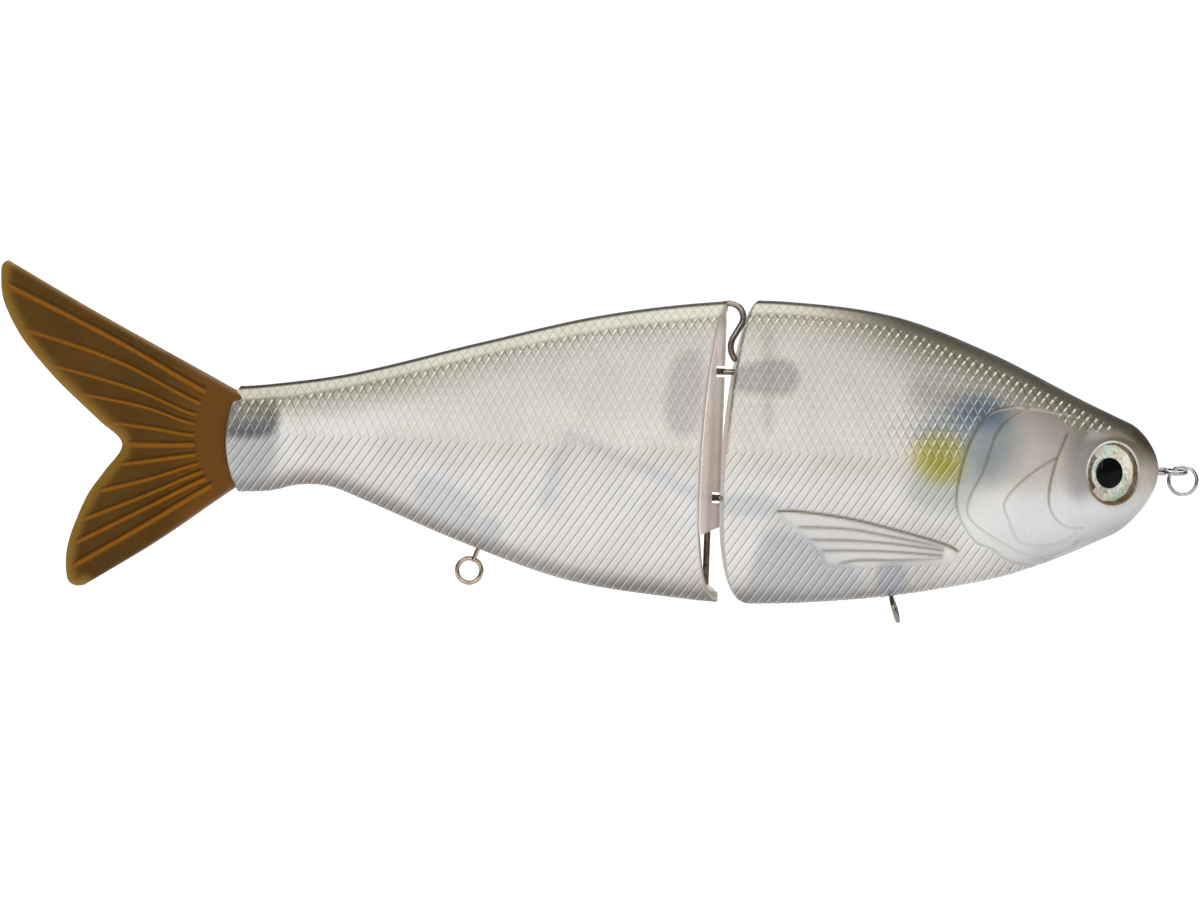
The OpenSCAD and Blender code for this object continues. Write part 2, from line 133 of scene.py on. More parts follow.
def section(s, angle):
    """Half-width and height of the skin at stations s and section angles."""
    widest = curve_value(WIDEST, s)
    up = angle >= 0
    power = 2 / np.where(up, BACK_POWER, BELLY_POWER)
    edge = np.where(up, curve_value(BACK, s) * blunt(s, BACK_ROUND),
                    curve_value(BELLY, s) * blunt(s, BELLY_ROUND))
    half = curve_value(SIDE, s) * BODY_W / 2 * blunt(s, SIDE_ROUND)
    cos, sin = np.clip(np.cos(angle), 0, 1), np.sin(angle)
    y = half * cos ** power
    z = widest + np.abs(edge - widest) * np.sign(sin) * np.abs(sin) ** power
    return y, z


# ---- small numeric tools ----

def ramp(v, low, high):
    """Smooth step from 0 at low to 1 at high."""
    t = np.clip((v - low) / (high - low), 0, 1)
    return t * t * (3 - 2 * t)


def bump(v, centre, width):
    """1 at the centre, fading to 0 over a width."""
    return np.exp(-((v - centre) / width) ** 2)


def unit(v):
    """Vectors of length 1."""
    return v / np.linalg.norm(v, axis=-1, keepdims=True)


def smooth_line(points, closed=False, steps=6):
    """Catmull-Rom curve through the points."""
    p = np.array(points, float)
    n = len(p)
    out = []
    for i in range(n if closed else n - 1):
        if closed:
            a, b, c, d = p[i - 1], p[i], p[(i + 1) % n], p[(i + 2) % n]
        else:
            a, b, c, d = p[max(i - 1, 0)], p[i], p[i + 1], p[min(i + 2, n - 1)]
        for k in range(steps):
            t = k / steps
            out.append(0.5 * (2 * b + (c - a) * t + (2 * a - 5 * b + 4 * c - d) * t * t
                              + (3 * b - a - 3 * c + d) * t ** 3))
    if not closed:
        out.append(p[-1])
    return np.array(out)


def distance(line, s, z, closed=False):
    """Distance of every point (s, z) from a line of points."""
    ends = np.vstack([line, line[:1]]) if closed else line
    best = np.full(s.shape, 1e9)
    for (ax, az), (bx, bz) in zip(ends[:-1], ends[1:]):
        dx, dz = bx - ax, bz - az
        t = np.clip(((s - ax) * dx + (z - az) * dz) / (dx * dx + dz * dz + 1e-12), 0, 1)
        best = np.minimum(best, (s - ax - t * dx) ** 2 + (z - az - t * dz) ** 2)
    return np.sqrt(best)


def inside(outline, s, z):
    found = np.zeros(s.shape, bool)
    for (ax, az), (bx, bz) in zip(outline, np.roll(outline, -1, axis=0)):
        if az == bz:
            continue
        crosses = (az > z) != (bz > z)
        found ^= crosses & (s < (bx - ax) * (z - az) / (bz - az) + ax)
    return found


def depth_in(outline, s, z):
    """Distance from an outline, positive inside it."""
    d = distance(outline, s, z, closed=True)
    return np.where(inside(outline, s, z), d, -d)


def srgb(*rgb):
    """Linear colour of 0-255 display values."""
    c = np.array(rgb, float) / 255
    return np.where(c <= 0.04045, c / 12.92, ((c + 0.055) / 1.055) ** 2.4)


# ---- meshes ----

def add_object(name, data):
    made = bpy.data.objects.new(name, data)
    bpy.context.collection.objects.link(made)
    return made


def make_piece(name, points, faces, flat_faces=()):
    """Mesh from millimetre points, smooth apart from the faces numbered as flat."""
    mesh = bpy.data.meshes.new(name)
    mesh.from_pydata((np.asarray(points, float) * MM).tolist(), [], faces)
    smooth = np.ones(len(mesh.polygons), bool)
    for i in flat_faces:
        smooth[i] = False
    mesh.polygons.foreach_set("use_smooth", smooth)
    mesh.update()
    return add_object(name, mesh)


def store(piece, name, values):
    """Keeps one number for each point of a piece."""
    attribute = piece.data.attributes.new(name, "FLOAT", "POINT")
    attribute.data.foreach_set("value", np.asarray(values, np.float32).ravel())


def store_colour(piece, name, colours):
    attribute = piece.data.attributes.new(name, "FLOAT_COLOR", "POINT")
    rgba = np.ones((len(colours), 4), np.float32)
    rgba[:, :3] = colours
    attribute.data.foreach_set("color", rgba.ravel())


def grid_quads(rows, cols, wrap=False):
    """Quads of a grid of points counted row by row."""
    i, j = np.meshgrid(np.arange(rows - 1), np.arange(cols if wrap else cols - 1),
                       indexing="ij")
    a = i * cols + j
    b = i * cols + (j + 1) % cols
    return np.stack([a, b, b + cols, a + cols], axis=-1).reshape(-1, 4)


def finish_mesh(piece, merge=0.0):
    """Merges doubled points and turns the faces outward."""
    bm = bmesh.new()
    bm.from_mesh(piece.data)
    if merge:
        bmesh.ops.remove_doubles(bm, verts=bm.verts, dist=merge * MM)
    bmesh.ops.recalc_face_normals(bm, faces=bm.faces)
    bm.to_mesh(piece.data)
    bm.free()
    piece.data.update()


def place(piece, material, body, nodes=()):
    piece.data.materials.clear()
    piece.data.materials.append(material)
    if body:
        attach(piece, body)
    if nodes:
        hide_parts(*nodes)


# ---- relief and paint of the skin, by station, height and the arc from the lateral line ----

LATERAL = 0.7
PITCH = 1.4
NET_LEAN = 0.5
STRIPE_LEAN = 0.68
SCALE_TOP = [[0, 3.2], [6.5, 6.2], [13, 9.5], [22, 13.4], [32, 17.4], [41, 20.5], [52, 22],
             [63, 22.3], [73, 21.2], [88, 18.8], [104, 14.9], [119, 10.6], [134, 7.1],
             [144, 5.8], [150, 5.4]]
GILL_OUTER = [[23, 9.1], [26.8, 7.8], [29.8, 3], [31.4, -4.1], [30.9, -8], [28.4, -11.8],
              [25.6, -13], [22.9, -14.7], [18.2, -15.3]]
GILL_INNER = [[20.6, 9.1], [25.2, 5.5], [27.3, -0.8], [29.5, -5.6], [29, -8.7],
              [24.5, -11.7], [19.8, -13.8], [15.1, -13.4], [11.3, -10.4]]
CHEEK = [[16.1, 1.4], [20.2, -1.4], [23.8, -5.4], [23.1, -8.5], [21.4, -11.6],
         [18.3, -12.2], [15, -11.6], [12.5, -10]]
CRESCENT = [[14.5, 5.1], [16, 1.1], [17, -3.6], [16.6, -6.7], [14.5, -9], [11.4, -9.3]]
SCALE_LOW = [[23, 9.3], [19, 9], [16, 7.5], [14, 6], [10, 5.5], [8, 5.8]]
FIN = [[59.2, -8.4], [55.9, -8.3], [48.1, -9.1], [40.2, -10.7], [33.1, -12.5], [31, -13.5],
       [31.4, -15], [33.8, -15.4], [49.7, -16.7], [52.5, -14.6], [55.5, -11.8]]
FIN_RAYS = [[[33.1, -13.0], [40.5, -11.8], [48.5, -10.7], [56.5, -10.7]],
            [[33.3, -13.5], [40.5, -12.8], [47.5, -12.5], [54.2, -12.6]],
            [[33.4, -14.3], [40.5, -14.0], [46.4, -14.0], [52.0, -14.2]],
            [[33.4, -14.9], [40.4, -15.3], [46.4, -15.5], [49.3, -16.2]]]
FIN_RAY_RISE = 0.5
# Lines of the head: the depth and width of the groove, and how dark it is painted
GILL_LINES = [(GILL_OUTER, 0.14, 0.22, 0.8), (GILL_INNER, 0.12, 0.2, 0.62),
              (CHEEK, 0.14, 0.22, 0.5), (CRESCENT, 0.14, 0.22, 0.75)]

HEAD_SMOOTH = smooth_line(GILL_OUTER).tolist() + [[10, -16], [-5, -14], [-5, 5]] + \
    smooth_line(SCALE_LOW[::-1]).tolist()


def seen(s, y):
    """Station at which a point of the skin shows in the main view."""
    ahead = math.tan(VIEW_YAW) + (at(s) - VIEW_CENTRE[0]) / VIEW_DISTANCE
    return s - np.abs(y) * ahead


def line_gap(phase):
    """Distance from the nearest line of a family, as a share of its pitch."""
    return np.abs((phase + 0.5) % 1 - 0.5)


def texture_zones(s, z):
    """Where the scale net and the belly's slanted lines lie, 0 to 1."""
    free = ramp(-depth_in(np.array(HEAD_SMOOTH), s, z), 0.1, 0.5)
    below_top = ramp(curve_value(SCALE_TOP, s) - z, 0.0, 0.5)
    off_fin = ramp(-fin_depth(s, z), 0.05, 0.45)
    net = free * below_top * ramp(z, LATERAL - 0.25, LATERAL + 0.25) * ramp(s, 6, 7.5)
    stripe = free * off_fin * ramp(z, LATERAL + 0.25, LATERAL - 0.25) * ramp(s, 17, 22)
    return net, stripe


def phases(s, z, arc):
    """Phases of the two line families."""
    slanted = np.where(z > LATERAL, NET_LEAN * arc, STRIPE_LEAN * (z - LATERAL))
    return (s + slanted) / PITCH, (s - NET_LEAN * arc) / PITCH


def skin_relief(s, z, y, arc):
    """Height of the skin's relief above the smooth body."""
    s = seen(s, y)
    net, stripe = texture_zones(s, z)
    first, second = phases(s, z, arc)
    top = curve_value(SCALE_TOP, s)
    strength = 0.6 + 0.5 * ramp(z, top - 4, top - 1)
    f1, f2 = first % 1, second % 1
    rise = (f1 + 1 - f2) / 2
    groove = np.maximum(bump(line_gap(first), 0, 0.16), bump(line_gap(second), 0, 0.16))
    h = net * strength * (0.11 * rise - 0.12 * groove)
    h += stripe * (0.07 * f1 - 0.09 * bump(line_gap(first), 0, 0.13))
    return h + head_relief(s, z) + fin_relief(s, z) - 0.1 * bump(y, 0, 0.3)


def below_back(s, z):
    return curve_value(BACK, s) * blunt(s, BACK_ROUND) - z


def near_line(points, s, z, width):
    """1 on the smooth line through the points, fading to 0 over a width."""
    return bump(distance(smooth_line(points), s, z), 0, width)


def fin_depth(s, z):
    """Distance in from the fin's outline."""
    return depth_in(smooth_line(FIN, closed=True), s, z)


def depth_ahead(line, corners, s, z):
    """Distance in from a smooth line, closed ahead of it through the corners."""
    return depth_in(np.vstack([smooth_line(line), corners]), s, z)


def head_relief(s, z):
    """Gill cover, cheek plates and the lines around them."""
    cover = depth_ahead(GILL_OUTER, [[6, -9], [6, 6], [14, 8]], s, z)
    plate = depth_ahead(GILL_INNER, [[6, 6], [14, 8]], s, z)
    behind = depth_ahead(CRESCENT, [[7, -9], [3, -3], [7, 5]], s, z)
    h = (0.28 * ramp(cover, -0.15, 0.3) + 0.2 * ramp(plate, -0.15, 0.3)) * ramp(s, 9, 15)
    h += 0.24 * ramp(behind, -0.2, 0.3) * ramp(s, 9, 13) * ramp(z, 5.2, 2.2)
    for line, deep, width, _ in GILL_LINES:
        h -= deep * near_line(line, s, z, width)
    return h


def fin_relief(s, z):
    """Moulded pectoral fin with rounded rays, each above a groove."""
    depth = fin_depth(s, z)
    inner = ramp(depth, 0.2, 0.8)
    h = 0.4 * ramp(depth, -0.2, 0.5) - 0.1 * bump(depth, -0.15, 0.25)
    for ray in FIN_RAYS:
        crest = np.array(ray) + [0, FIN_RAY_RISE]
        h += inner * (0.2 * near_line(crest, s, z, 0.35) - 0.24 * near_line(ray, s, z, 0.26))
    return h


# Painted shade as soft shapes: where the parts inside show through the plastic, behind the eye and
# along the lower front, with one greenish edge to the yellow paint. Columns: outline, colour,
# strength, softness of the edge
SHADOWS = [
    ([[62.4, -22.4], [62.6, -16.2], [59.7, -11.4], [47.8, -15.6], [47.6, -21.4]],
     (120, 128, 140), 0.34, 1.0),
    ([[66.8, 10.2], [61.4, 9.6], [58, 9.8], [56.7, 12], [58, 14.8], [61.4, 15.1], [66.8, 13.3]],
     (105, 103, 104), 0.42, 0.9),
    ([[62.6, 19.4], [61.8, 5], [60.6, 5], [60.8, 19.4]], (135, 130, 126), 0.3, 0.9),
    ([[67.9, -6.4], [60, -6.4], [60, -9], [67.9, -9]], (130, 140, 150), 0.25, 0.8),
    ([[43, -16.2], [39.2, -16.2], [39.2, -21.5], [43, -21.5]], (100, 112, 132), 0.45, 0.9),
    ([[114.6, -4.8], [106.6, -8.4], [107.2, -13.1], [115.2, -9.5]], (140, 150, 165), 0.28, 1.2),
    ([[105.7, -11.5], [102.6, -11.5], [102.6, -15.4], [105.7, -15.4]], (130, 140, 155), 0.25, 0.8),
    ([[96.5, -8.1], [93.3, 2], [89, 1.9], [72.1, -5.1], [72.1, -7], [88, -0.4], [92, 0],
      [94.6, -8.1]], (150, 152, 165), 0.22, 0.9),
    ([[77, 4], [76.5, 14], [72, 15.5], [72, 4]], (128, 126, 126), 0.35, 1.1),
    ([[138.4, 7.6], [144.9, 7.4], [145.9, 1.5], [144.9, 0.2], [138.4, 1.0]],
     (16, 16, 12), 0.96, 1.0),
    ([[138, 3], [146, 3], [145.5, -7.8], [139, -6.5]], (128, 132, 142), 0.5, 1.3),
    ([[2.2, 1.2], [3.6, 4.1], [5.6, 3.4], [4.6, 0.8]], (120, 118, 118), 0.4, 0.6),
    # painted shade behind the eye
    ([[10.6, 4.6], [13.6, 4.6], [13.8, -3.6], [10.6, -3.6]], (126, 124, 126), 0.62, 1.8),
    ([[31, 12], [38, 12.5], [38.5, 8.5], [32, 8]], (128, 122, 114), 0.5, 2.6),
    ([[29, -1], [38, -1.5], [38, -6], [31, -7.5]], (146, 150, 140), 0.5, 2.2),
    # painted shade along the lower front
    ([[32, -10], [44, -9], [58, -9], [61, -13], [60, -19], [40, -19], [33, -15]],
     (160, 158, 158), 0.36, 3.0),
]
BLUE_PAINT = [[22.6, 3], [23.5, 8.4], [26, 10.3], [30, 10.8], [35.5, 7.5], [37.5, 3.8], [33, 2.5],
              [28, -2.5], [24.5, -1]]
BLUE_CORE = [[25, 6.5], [25.6, 9.8], [29, 10.2], [32, 8], [29.5, 5.8]]
YELLOW_PAINT = [[31.6, -1.2], [31.6, 2.6], [34.5, 4], [37.4, 2.4], [37.6, -0.2], [34.4, -2.3]]
PAINTS = [(BLUE_PAINT, (88, 104, 114), 0.6, 3.0), (BLUE_CORE, (52, 78, 106), 0.6, 2.2),
          (YELLOW_PAINT, (140, 132, 6), 0.86, 2.6)]
BACK_DARK = (40, 33, 18)
BACK_LINE = (34, 28, 18)
# painted highlight along the top of the back, above the scales
BAND_HIGHLIGHT = (212, 208, 194)
# painted shade along the belly
BELLY_SHADE = (92, 84, 78)
GILL_GOLD, GILL_GREY = (78, 62, 26), (148, 146, 142)


def soft_shape(outline, s, z, soft):
    return ramp(depth_in(smooth_line(outline, closed=True, steps=4), s, z), -soft, soft)


def blend_in(colours, colour, weight):
    """Lays a display colour over the paint."""
    w = np.clip(weight, 0, 1)[:, None]
    return colours * (1 - w) + np.array(colour, float) * w


def body_tones(s, z):
    """Broad tones of the plastic, painted shade along the belly, painted shade of the shapes seen
    through it, and its blue and yellow paint.
    """
    low = z - curve_value(BELLY, s)
    middle = ramp(s, 30, 44) * ramp(s, 94, 80)
    c = np.tile([206.0, 201.0, 195.0], (len(s), 1))
    for colour, weight in (
            ((199, 193, 186), ramp(s, 66, 52) * 0.8),
            ((214, 213, 212), ramp(z, 0, -5) * 0.75),
            ((217, 215, 212), ramp(s, 112, 132) * 0.8),
            ((202, 205, 207), ramp(s, 30, 14) * ramp(z, -2, -8) * 0.8),
            ((170, 161, 154), ramp(s, 32, 22) * ramp(z, -7, 2) * 0.85),
            ((104, 97, 86), ramp(s, 13, 7) * ramp(z, -1, 3) * 0.45),
            ((190, 185, 177), ramp(z, 3, 9) * 0.5),
            # painted shade along the belly, darkest where its surface turns down away from the light
            (BELLY_SHADE, np.exp(-low / 2.1) * (0.5 + 0.5 * middle)),
            (BELLY_SHADE, 0.6 * ramp(low, 1.6, 0.3) * middle),
            (BELLY_SHADE, 0.5 * ramp(low, 3.4, 0.4) * ramp(s, 52, 60))):
        c = blend_in(c, colour, weight)
    # painted shade of the shapes seen through the plastic, then the blue and yellow paint
    for outline, colour, strength, soft in SHADOWS + PAINTS:
        c = blend_in(c, colour, strength * soft_shape(outline, s, z, soft))
    return c


def back_tones(c, s, z):
    """Olive back that fades down the sides, a pale band painted on as a highlight where the light
    catches the rounded back, and the dark line on top.
    """
    deep = below_back(s, z)
    upper = 0.55 + 0.3 * ramp(s, 104, 120) + 0.25 * ramp(s, 72, 66)
    c = blend_in(c, (166, 160, 145), ramp(deep, 8, 2) * upper)
    fade = 1.4 + 2.4 * ramp(s, 62, 36)
    share = 0.2 + 0.8 * ramp(s, 64, 34)
    snout = ramp(z, -0.5, 4.5)
    c = blend_in(c, BACK_DARK, snout * share * np.exp(-np.maximum(deep - 0.4, 0) / fade))
    top = curve_value(SCALE_TOP, s)
    band = ramp(z, top - 0.2, top + 0.3)
    # painted highlight where the light catches the rounded back
    c = blend_in(c, BAND_HIGHLIGHT, band * ramp(s, 40, 62) * 0.8)
    return blend_in(c, BACK_LINE, snout * ramp(deep, 0.75, 0.35) * 0.95)


def skin_paint(s, z):
    """Display colour of the skin, 0 to 255, before the lamps' light falls on it; it already holds
    painted shade and a painted highlight.
    """
    c = back_tones(body_tones(s, z), s, z)
    for line, _, _, ink in GILL_LINES:
        gap = distance(smooth_line(line), s, z)
        c = blend_in(c, GILL_GOLD, ink * bump(gap, 0, 0.14) * ramp(z, -10, -2))
        c = blend_in(c, GILL_GREY, 0.6 * ink * bump(gap, 0, 0.17) * ramp(z, -2, -9))
    c = blend_in(c, (92, 78, 54), 0.85 * near_line(FIN[:6], s, z, 0.2))
    inner = ramp(fin_depth(s, z), 0.2, 0.9)
    c = blend_in(c, (216, 214, 210), 0.5 * inner)
    # painted shade in the groove under each of the fin's rays
    for ray in FIN_RAYS:
        c = blend_in(c, (98, 93, 88), 0.6 * inner * near_line(ray, s, z, 0.24))
    return c


# ---- the skins ----

TABLE_STEPS, TABLE_STATIONS = 721, 420
SOLVE_STEPS = 40
FRONT_ROWS, REAR_ROWS = 205, 180
SNOUT_COLS, MIDDLE_COLS, LAST_COLS, REAR_COLS = 76, 181, 82, 372
SNOUT_END, MIDDLE_END = 12, 50
GROOVE_COLS = 8
LIP_R = 0.35
LIP_TURNS = np.radians([30, 60, 90])
LIP_DARK = 0.62
RIM_WALL = 0.8
EDGE_WALL, EDGE_TRIM = 1.1, 1.3
SOCKET_FLOOR = 141
GAIN = 0.86
SHARP_LEAST = 0.12


def arc_table(rows, first, last):
    """Section angles at even arc shares, and arc lengths from the lateral line, by station."""
    stations = np.linspace(first, last, TABLE_STATIONS)
    fine = np.linspace(-math.pi / 2, math.pi / 2, TABLE_STEPS)
    share = np.linspace(0, 1, rows)
    angles, arcs = [], []
    for s in stations:
        y, z = section(np.full(TABLE_STEPS, s), fine)
        run = running_length(np.stack([y, z], axis=-1))
        angles.append(np.interp(share * run[-1], run, fine))
        lateral = np.interp(LATERAL, z, run) if z[-1] > z[0] else 0
        arcs.append(share * run[-1] - lateral)
    return stations, np.array(angles), np.array(arcs)


def running_length(line):
    """Length along a line of points, from its start to each of them."""
    return np.concatenate([[0], np.cumsum(np.hypot(*np.diff(line, axis=0).T))])


def on_middle(points):
    """Puts a grid's first and last rows on the middle plane."""
    points[:, [0, -1], 1] = 0
    return points


def column_values(s, stations, values):
    """Each column of a table of values, read at its own stations."""
    return np.stack([np.interp(s[:, j], stations, values[:, j]) for j in range(s.shape[1])], axis=1)


def skin_points(s, table):
    """Points of the smooth body for an array of stations, one row per arc share."""
    stations, angles, _ = table
    y, z = section(s, column_values(s, stations, angles))
    return on_middle(np.stack([at(s), y, z], axis=-1))


def skin_grid(s, table):
    """Points, outward normals and arc coordinates of the smooth body."""
    points = skin_points(s, table)
    normal = np.cross(np.gradient(points, axis=0), np.gradient(points, axis=1))
    normal /= np.linalg.norm(normal, axis=-1, keepdims=True) + 1e-12
    return points, normal, column_values(s, table[0], table[2])


def solve_edge(rule, start, table):
    """Stations, one per arc share, where the skin meets a rule s = rule(y, z)."""
    s = np.full((1, table[1].shape[1]), start)
    for _ in range(SOLVE_STEPS):
        points = skin_points(s, table)
        s = 0.5 * s + 0.5 * rule(points[..., 1], points[..., 2])
    return s[0]


def eye_axis(side):
    return np.array([math.sin(EYE_YAW), side * math.cos(EYE_YAW), 0])


def sink_eye(points):
    """Flattens the head around the eye and sinks its pocket."""
    centre, n = eye_place(1), eye_axis(1)
    rel = points - centre
    w = rel @ n
    flat = rel - w[..., None] * n
    r = np.linalg.norm(flat, axis=-1)
    near = (w > -6) & (r < 9)
    wall = EYE_R + POCKET_GAP
    snapped = np.where((r < wall) & (r > wall - POCKET_SNAP), wall - 0.01, r)
    snapped = np.where((r >= wall) & (r < wall + POCKET_SNAP), wall + 0.01, snapped)
    target = np.where(r < wall, -POCKET_DEPTH, POCKET_BROW)
    weight = np.where(r < wall, 1.0, ramp(r, wall + 2.4, wall + 0.3)) * near
    new_w = w + (target - w) * weight
    stretch = np.where(near, snapped / np.maximum(r, 1e-6), 1)
    sunk = centre + flat * stretch[..., None] + new_w[..., None] * n
    return np.where(near[..., None], sunk, points)


def close_skin(name, points, side, extra, pointed):
    """Solid half from a grid whose edges lie on the middle plane, or whose first is a point."""
    cols, rows = points.shape[:2]
    quads = grid_quads(cols, rows).tolist()
    ring = [c * rows for c in range(cols)]
    ring += [(cols - 1) * rows + r for r in range(1, rows)]
    ring += [c * rows + rows - 1 for c in range(cols - 2, -1, -1)]
    if not pointed:
        ring += range(rows - 2, 0, -1)
    piece = make_piece(name, points.reshape(-1, 3) * [1, side, 1], quads + [ring],
                       flat_faces=[len(quads)])
    for key, values in extra.items():
        keep = store_colour if key == "tint" else store
        keep(piece, key, values)
    finish_mesh(piece, merge=1e-4)
    return piece


def skin_extras(points, arc):
    """Everything that the skin's material reads from its points."""
    x, y, z = points.reshape(-1, 3).T
    s = seen(-TIE_REACH - x, y)
    net, stripe = texture_zones(s, z)
    first, second = phases(s, z, arc.ravel())
    top = curve_value(SCALE_TOP, s)
    band = ramp(z, top - 0.1, top + 0.3) * ramp(s, 20, 30)
    fade = 1.7 + 2.4 * ramp(s, 50, 30)
    sharp = SHARP_LEAST + (1 - SHARP_LEAST) * np.exp(-np.maximum(top - z, 0) / fade)
    sharp = np.maximum(sharp, 0.6 * bump(s, 35, 10) * bump(z, 4.5, 5.5))
    deep = below_back(s, z)
    low = z - curve_value(BELLY, s) * blunt(s, BELLY_ROUND)
    dull = np.maximum(ramp(deep, 6, 0.8), 0.8 * ramp(low, 2.5, 0.3))
    # the tint carries the painted shade and painted highlight of skin_paint
    return {"tint": srgb(*skin_paint(s, z).T).T * GAIN, "first": first, "second": second,
            "net": net, "stripe": stripe, "band": band, "sharp": sharp, "dull": dull}


def lip_columns(edge, normal, ahead):
    """Columns that round an edge of the skin inward, ahead (1) or behind (-1) of it."""
    way = np.array([ahead, 0, 0])
    return [edge - normal * LIP_R * (1 - math.cos(t)) + way * LIP_R * math.sin(t)
            for t in LIP_TURNS]


def end_wall(lip, thick, trim, inner_x, floor_at):
    """Columns from a lip in to its wall's inner edge, then to a floor that closes the half."""
    y = np.maximum(lip[:, 1] - thick, 0)
    z = np.clip(lip[:, 2], lip[0, 2] + trim, lip[-1, 2] - trim)
    floor = np.stack([np.full_like(y, at(floor_at)), y, z], axis=-1)
    return [np.stack([inner_x(y), y, z], axis=-1), floor, floor * [1, 0, 1]]


def skin_halves(name, points, arc, face, lined, shade=0.0):
    """Both halves of a section's skin, with one face and one line weight for each column."""
    rows = points.shape[1]
    extra = skin_extras(points, arc)
    extra["face"] = np.repeat(face, rows)
    extra["tint"] = extra["tint"] * (1 - np.reshape(shade, (-1, 1)))
    for key in ("net", "stripe", "band"):
        extra[key] = extra[key] * np.repeat(lined, rows)
    return {label: close_skin(f"{name}_skin_{label}", points, side, extra, name == "front")
            for label, side in SIDES.items()}


def front_stations(edge):
    """Stations of the front section's columns, dense at the snout and even behind it."""
    snout = SNOUT_END * (1 - np.cos(np.linspace(0, math.pi / 2, SNOUT_COLS)))
    middle = np.linspace(SNOUT_END, MIDDLE_END, MIDDLE_COLS)[1:]
    last = np.linspace(0, 1, LAST_COLS)[1:, None] * (edge - LIP_R - MIDDLE_END)
    base = np.concatenate([snout, middle])
    return np.concatenate([np.tile(base[:, None], len(edge)), MIDDLE_END + last])


def front_skins():
    """Halves of the front section, whose rounded lips lead into the joint's groove."""
    table = arc_table(FRONT_ROWS, 0.0, 70.0)
    edge = solve_edge(lambda y, z: GROOVE_AT + GROOVE_SLOPE * y, 66.0, table)
    s = front_stations(edge)
    points, normal, arc = skin_grid(s, table)
    relief = skin_relief(s, points[..., 2], points[..., 1], arc)
    relief *= ramp(edge - LIP_R - s, 0, 0.5)
    relief[0] = 0
    out = sink_eye(on_middle(points + normal * relief[..., None]))
    columns = lip_columns(out[-1], normal[-1], -1)
    lip = columns[-1]
    for share in np.linspace(0, 1, GROOVE_COLS + 1)[1:]:
        columns.append(lip * [1 - share, 1 - share, 1] + [at(GROOVE_AT) * share, 0, 0])
    full = np.concatenate([out, on_middle(np.array(columns))])
    face, lined = np.zeros(len(full)), np.ones(len(full))
    face[-GROOVE_COLS:] = 1
    face[-GROOVE_COLS - 1] = 0.6
    lined[-GROOVE_COLS - 2:] = 0
    shade = np.zeros(full.shape[:2])
    shade[-GROOVE_COLS - 4:-GROOVE_COLS - 1] = LIP_DARK
    shade *= ramp(full[..., 2], -3, 9)
    arc = np.pad(arc, ((0, len(columns)), (0, 0)), mode="edge")
    return skin_halves("front", full, arc, face, lined, shade)


def rear_skins():
    """Halves of the rear section, open to the tongue in front and to the tail behind."""
    table = arc_table(REAR_ROWS, 66.0, 148.0)
    edge = solve_edge(lambda y, z: TONGUE_AT + TONGUE_SLOPE * y, 70.0, table)
    rim = solve_edge(lambda y, z: RIM_AT - RIM_R + np.sqrt(RIM_R ** 2 - z ** 2), 144.0, table)
    start, stop = edge + LIP_R, rim - LIP_R
    s = start + np.linspace(0, 1, REAR_COLS)[:, None] * (stop - start)
    points, normal, arc = skin_grid(s, table)
    relief = skin_relief(s, points[..., 2], points[..., 1], arc)
    relief *= ramp(s - start, 0, 0.4) * ramp(stop - s, 0, 0.8)
    out = on_middle(points + normal * relief[..., None])
    fore, aft = lip_columns(out[0], normal[0], 1), lip_columns(out[-1], normal[-1], -1)
    aft_lip = aft[-1]
    fore += end_wall(fore[-1], EDGE_WALL, EDGE_TRIM,
                     lambda y: at(TONGUE_AT + TONGUE_SLOPE * y + 0.1), RECESS_BACK)
    aft += end_wall(aft_lip, RIM_WALL, RIM_WALL, lambda y: aft_lip[:, 0] + 0.05, SOCKET_FLOOR)
    full = on_middle(np.concatenate([fore[::-1], out, aft]))
    face, lined = np.zeros(len(full)), np.ones(len(full))
    face[:4] = face[-3:] = 1
    lined[:len(fore)] = lined[-len(aft):] = 0
    arc = np.pad(arc, ((len(fore), len(aft)), (0, 0)), mode="edge")
    return skin_halves("rear", full, arc, face, lined)


# ---- node materials ----

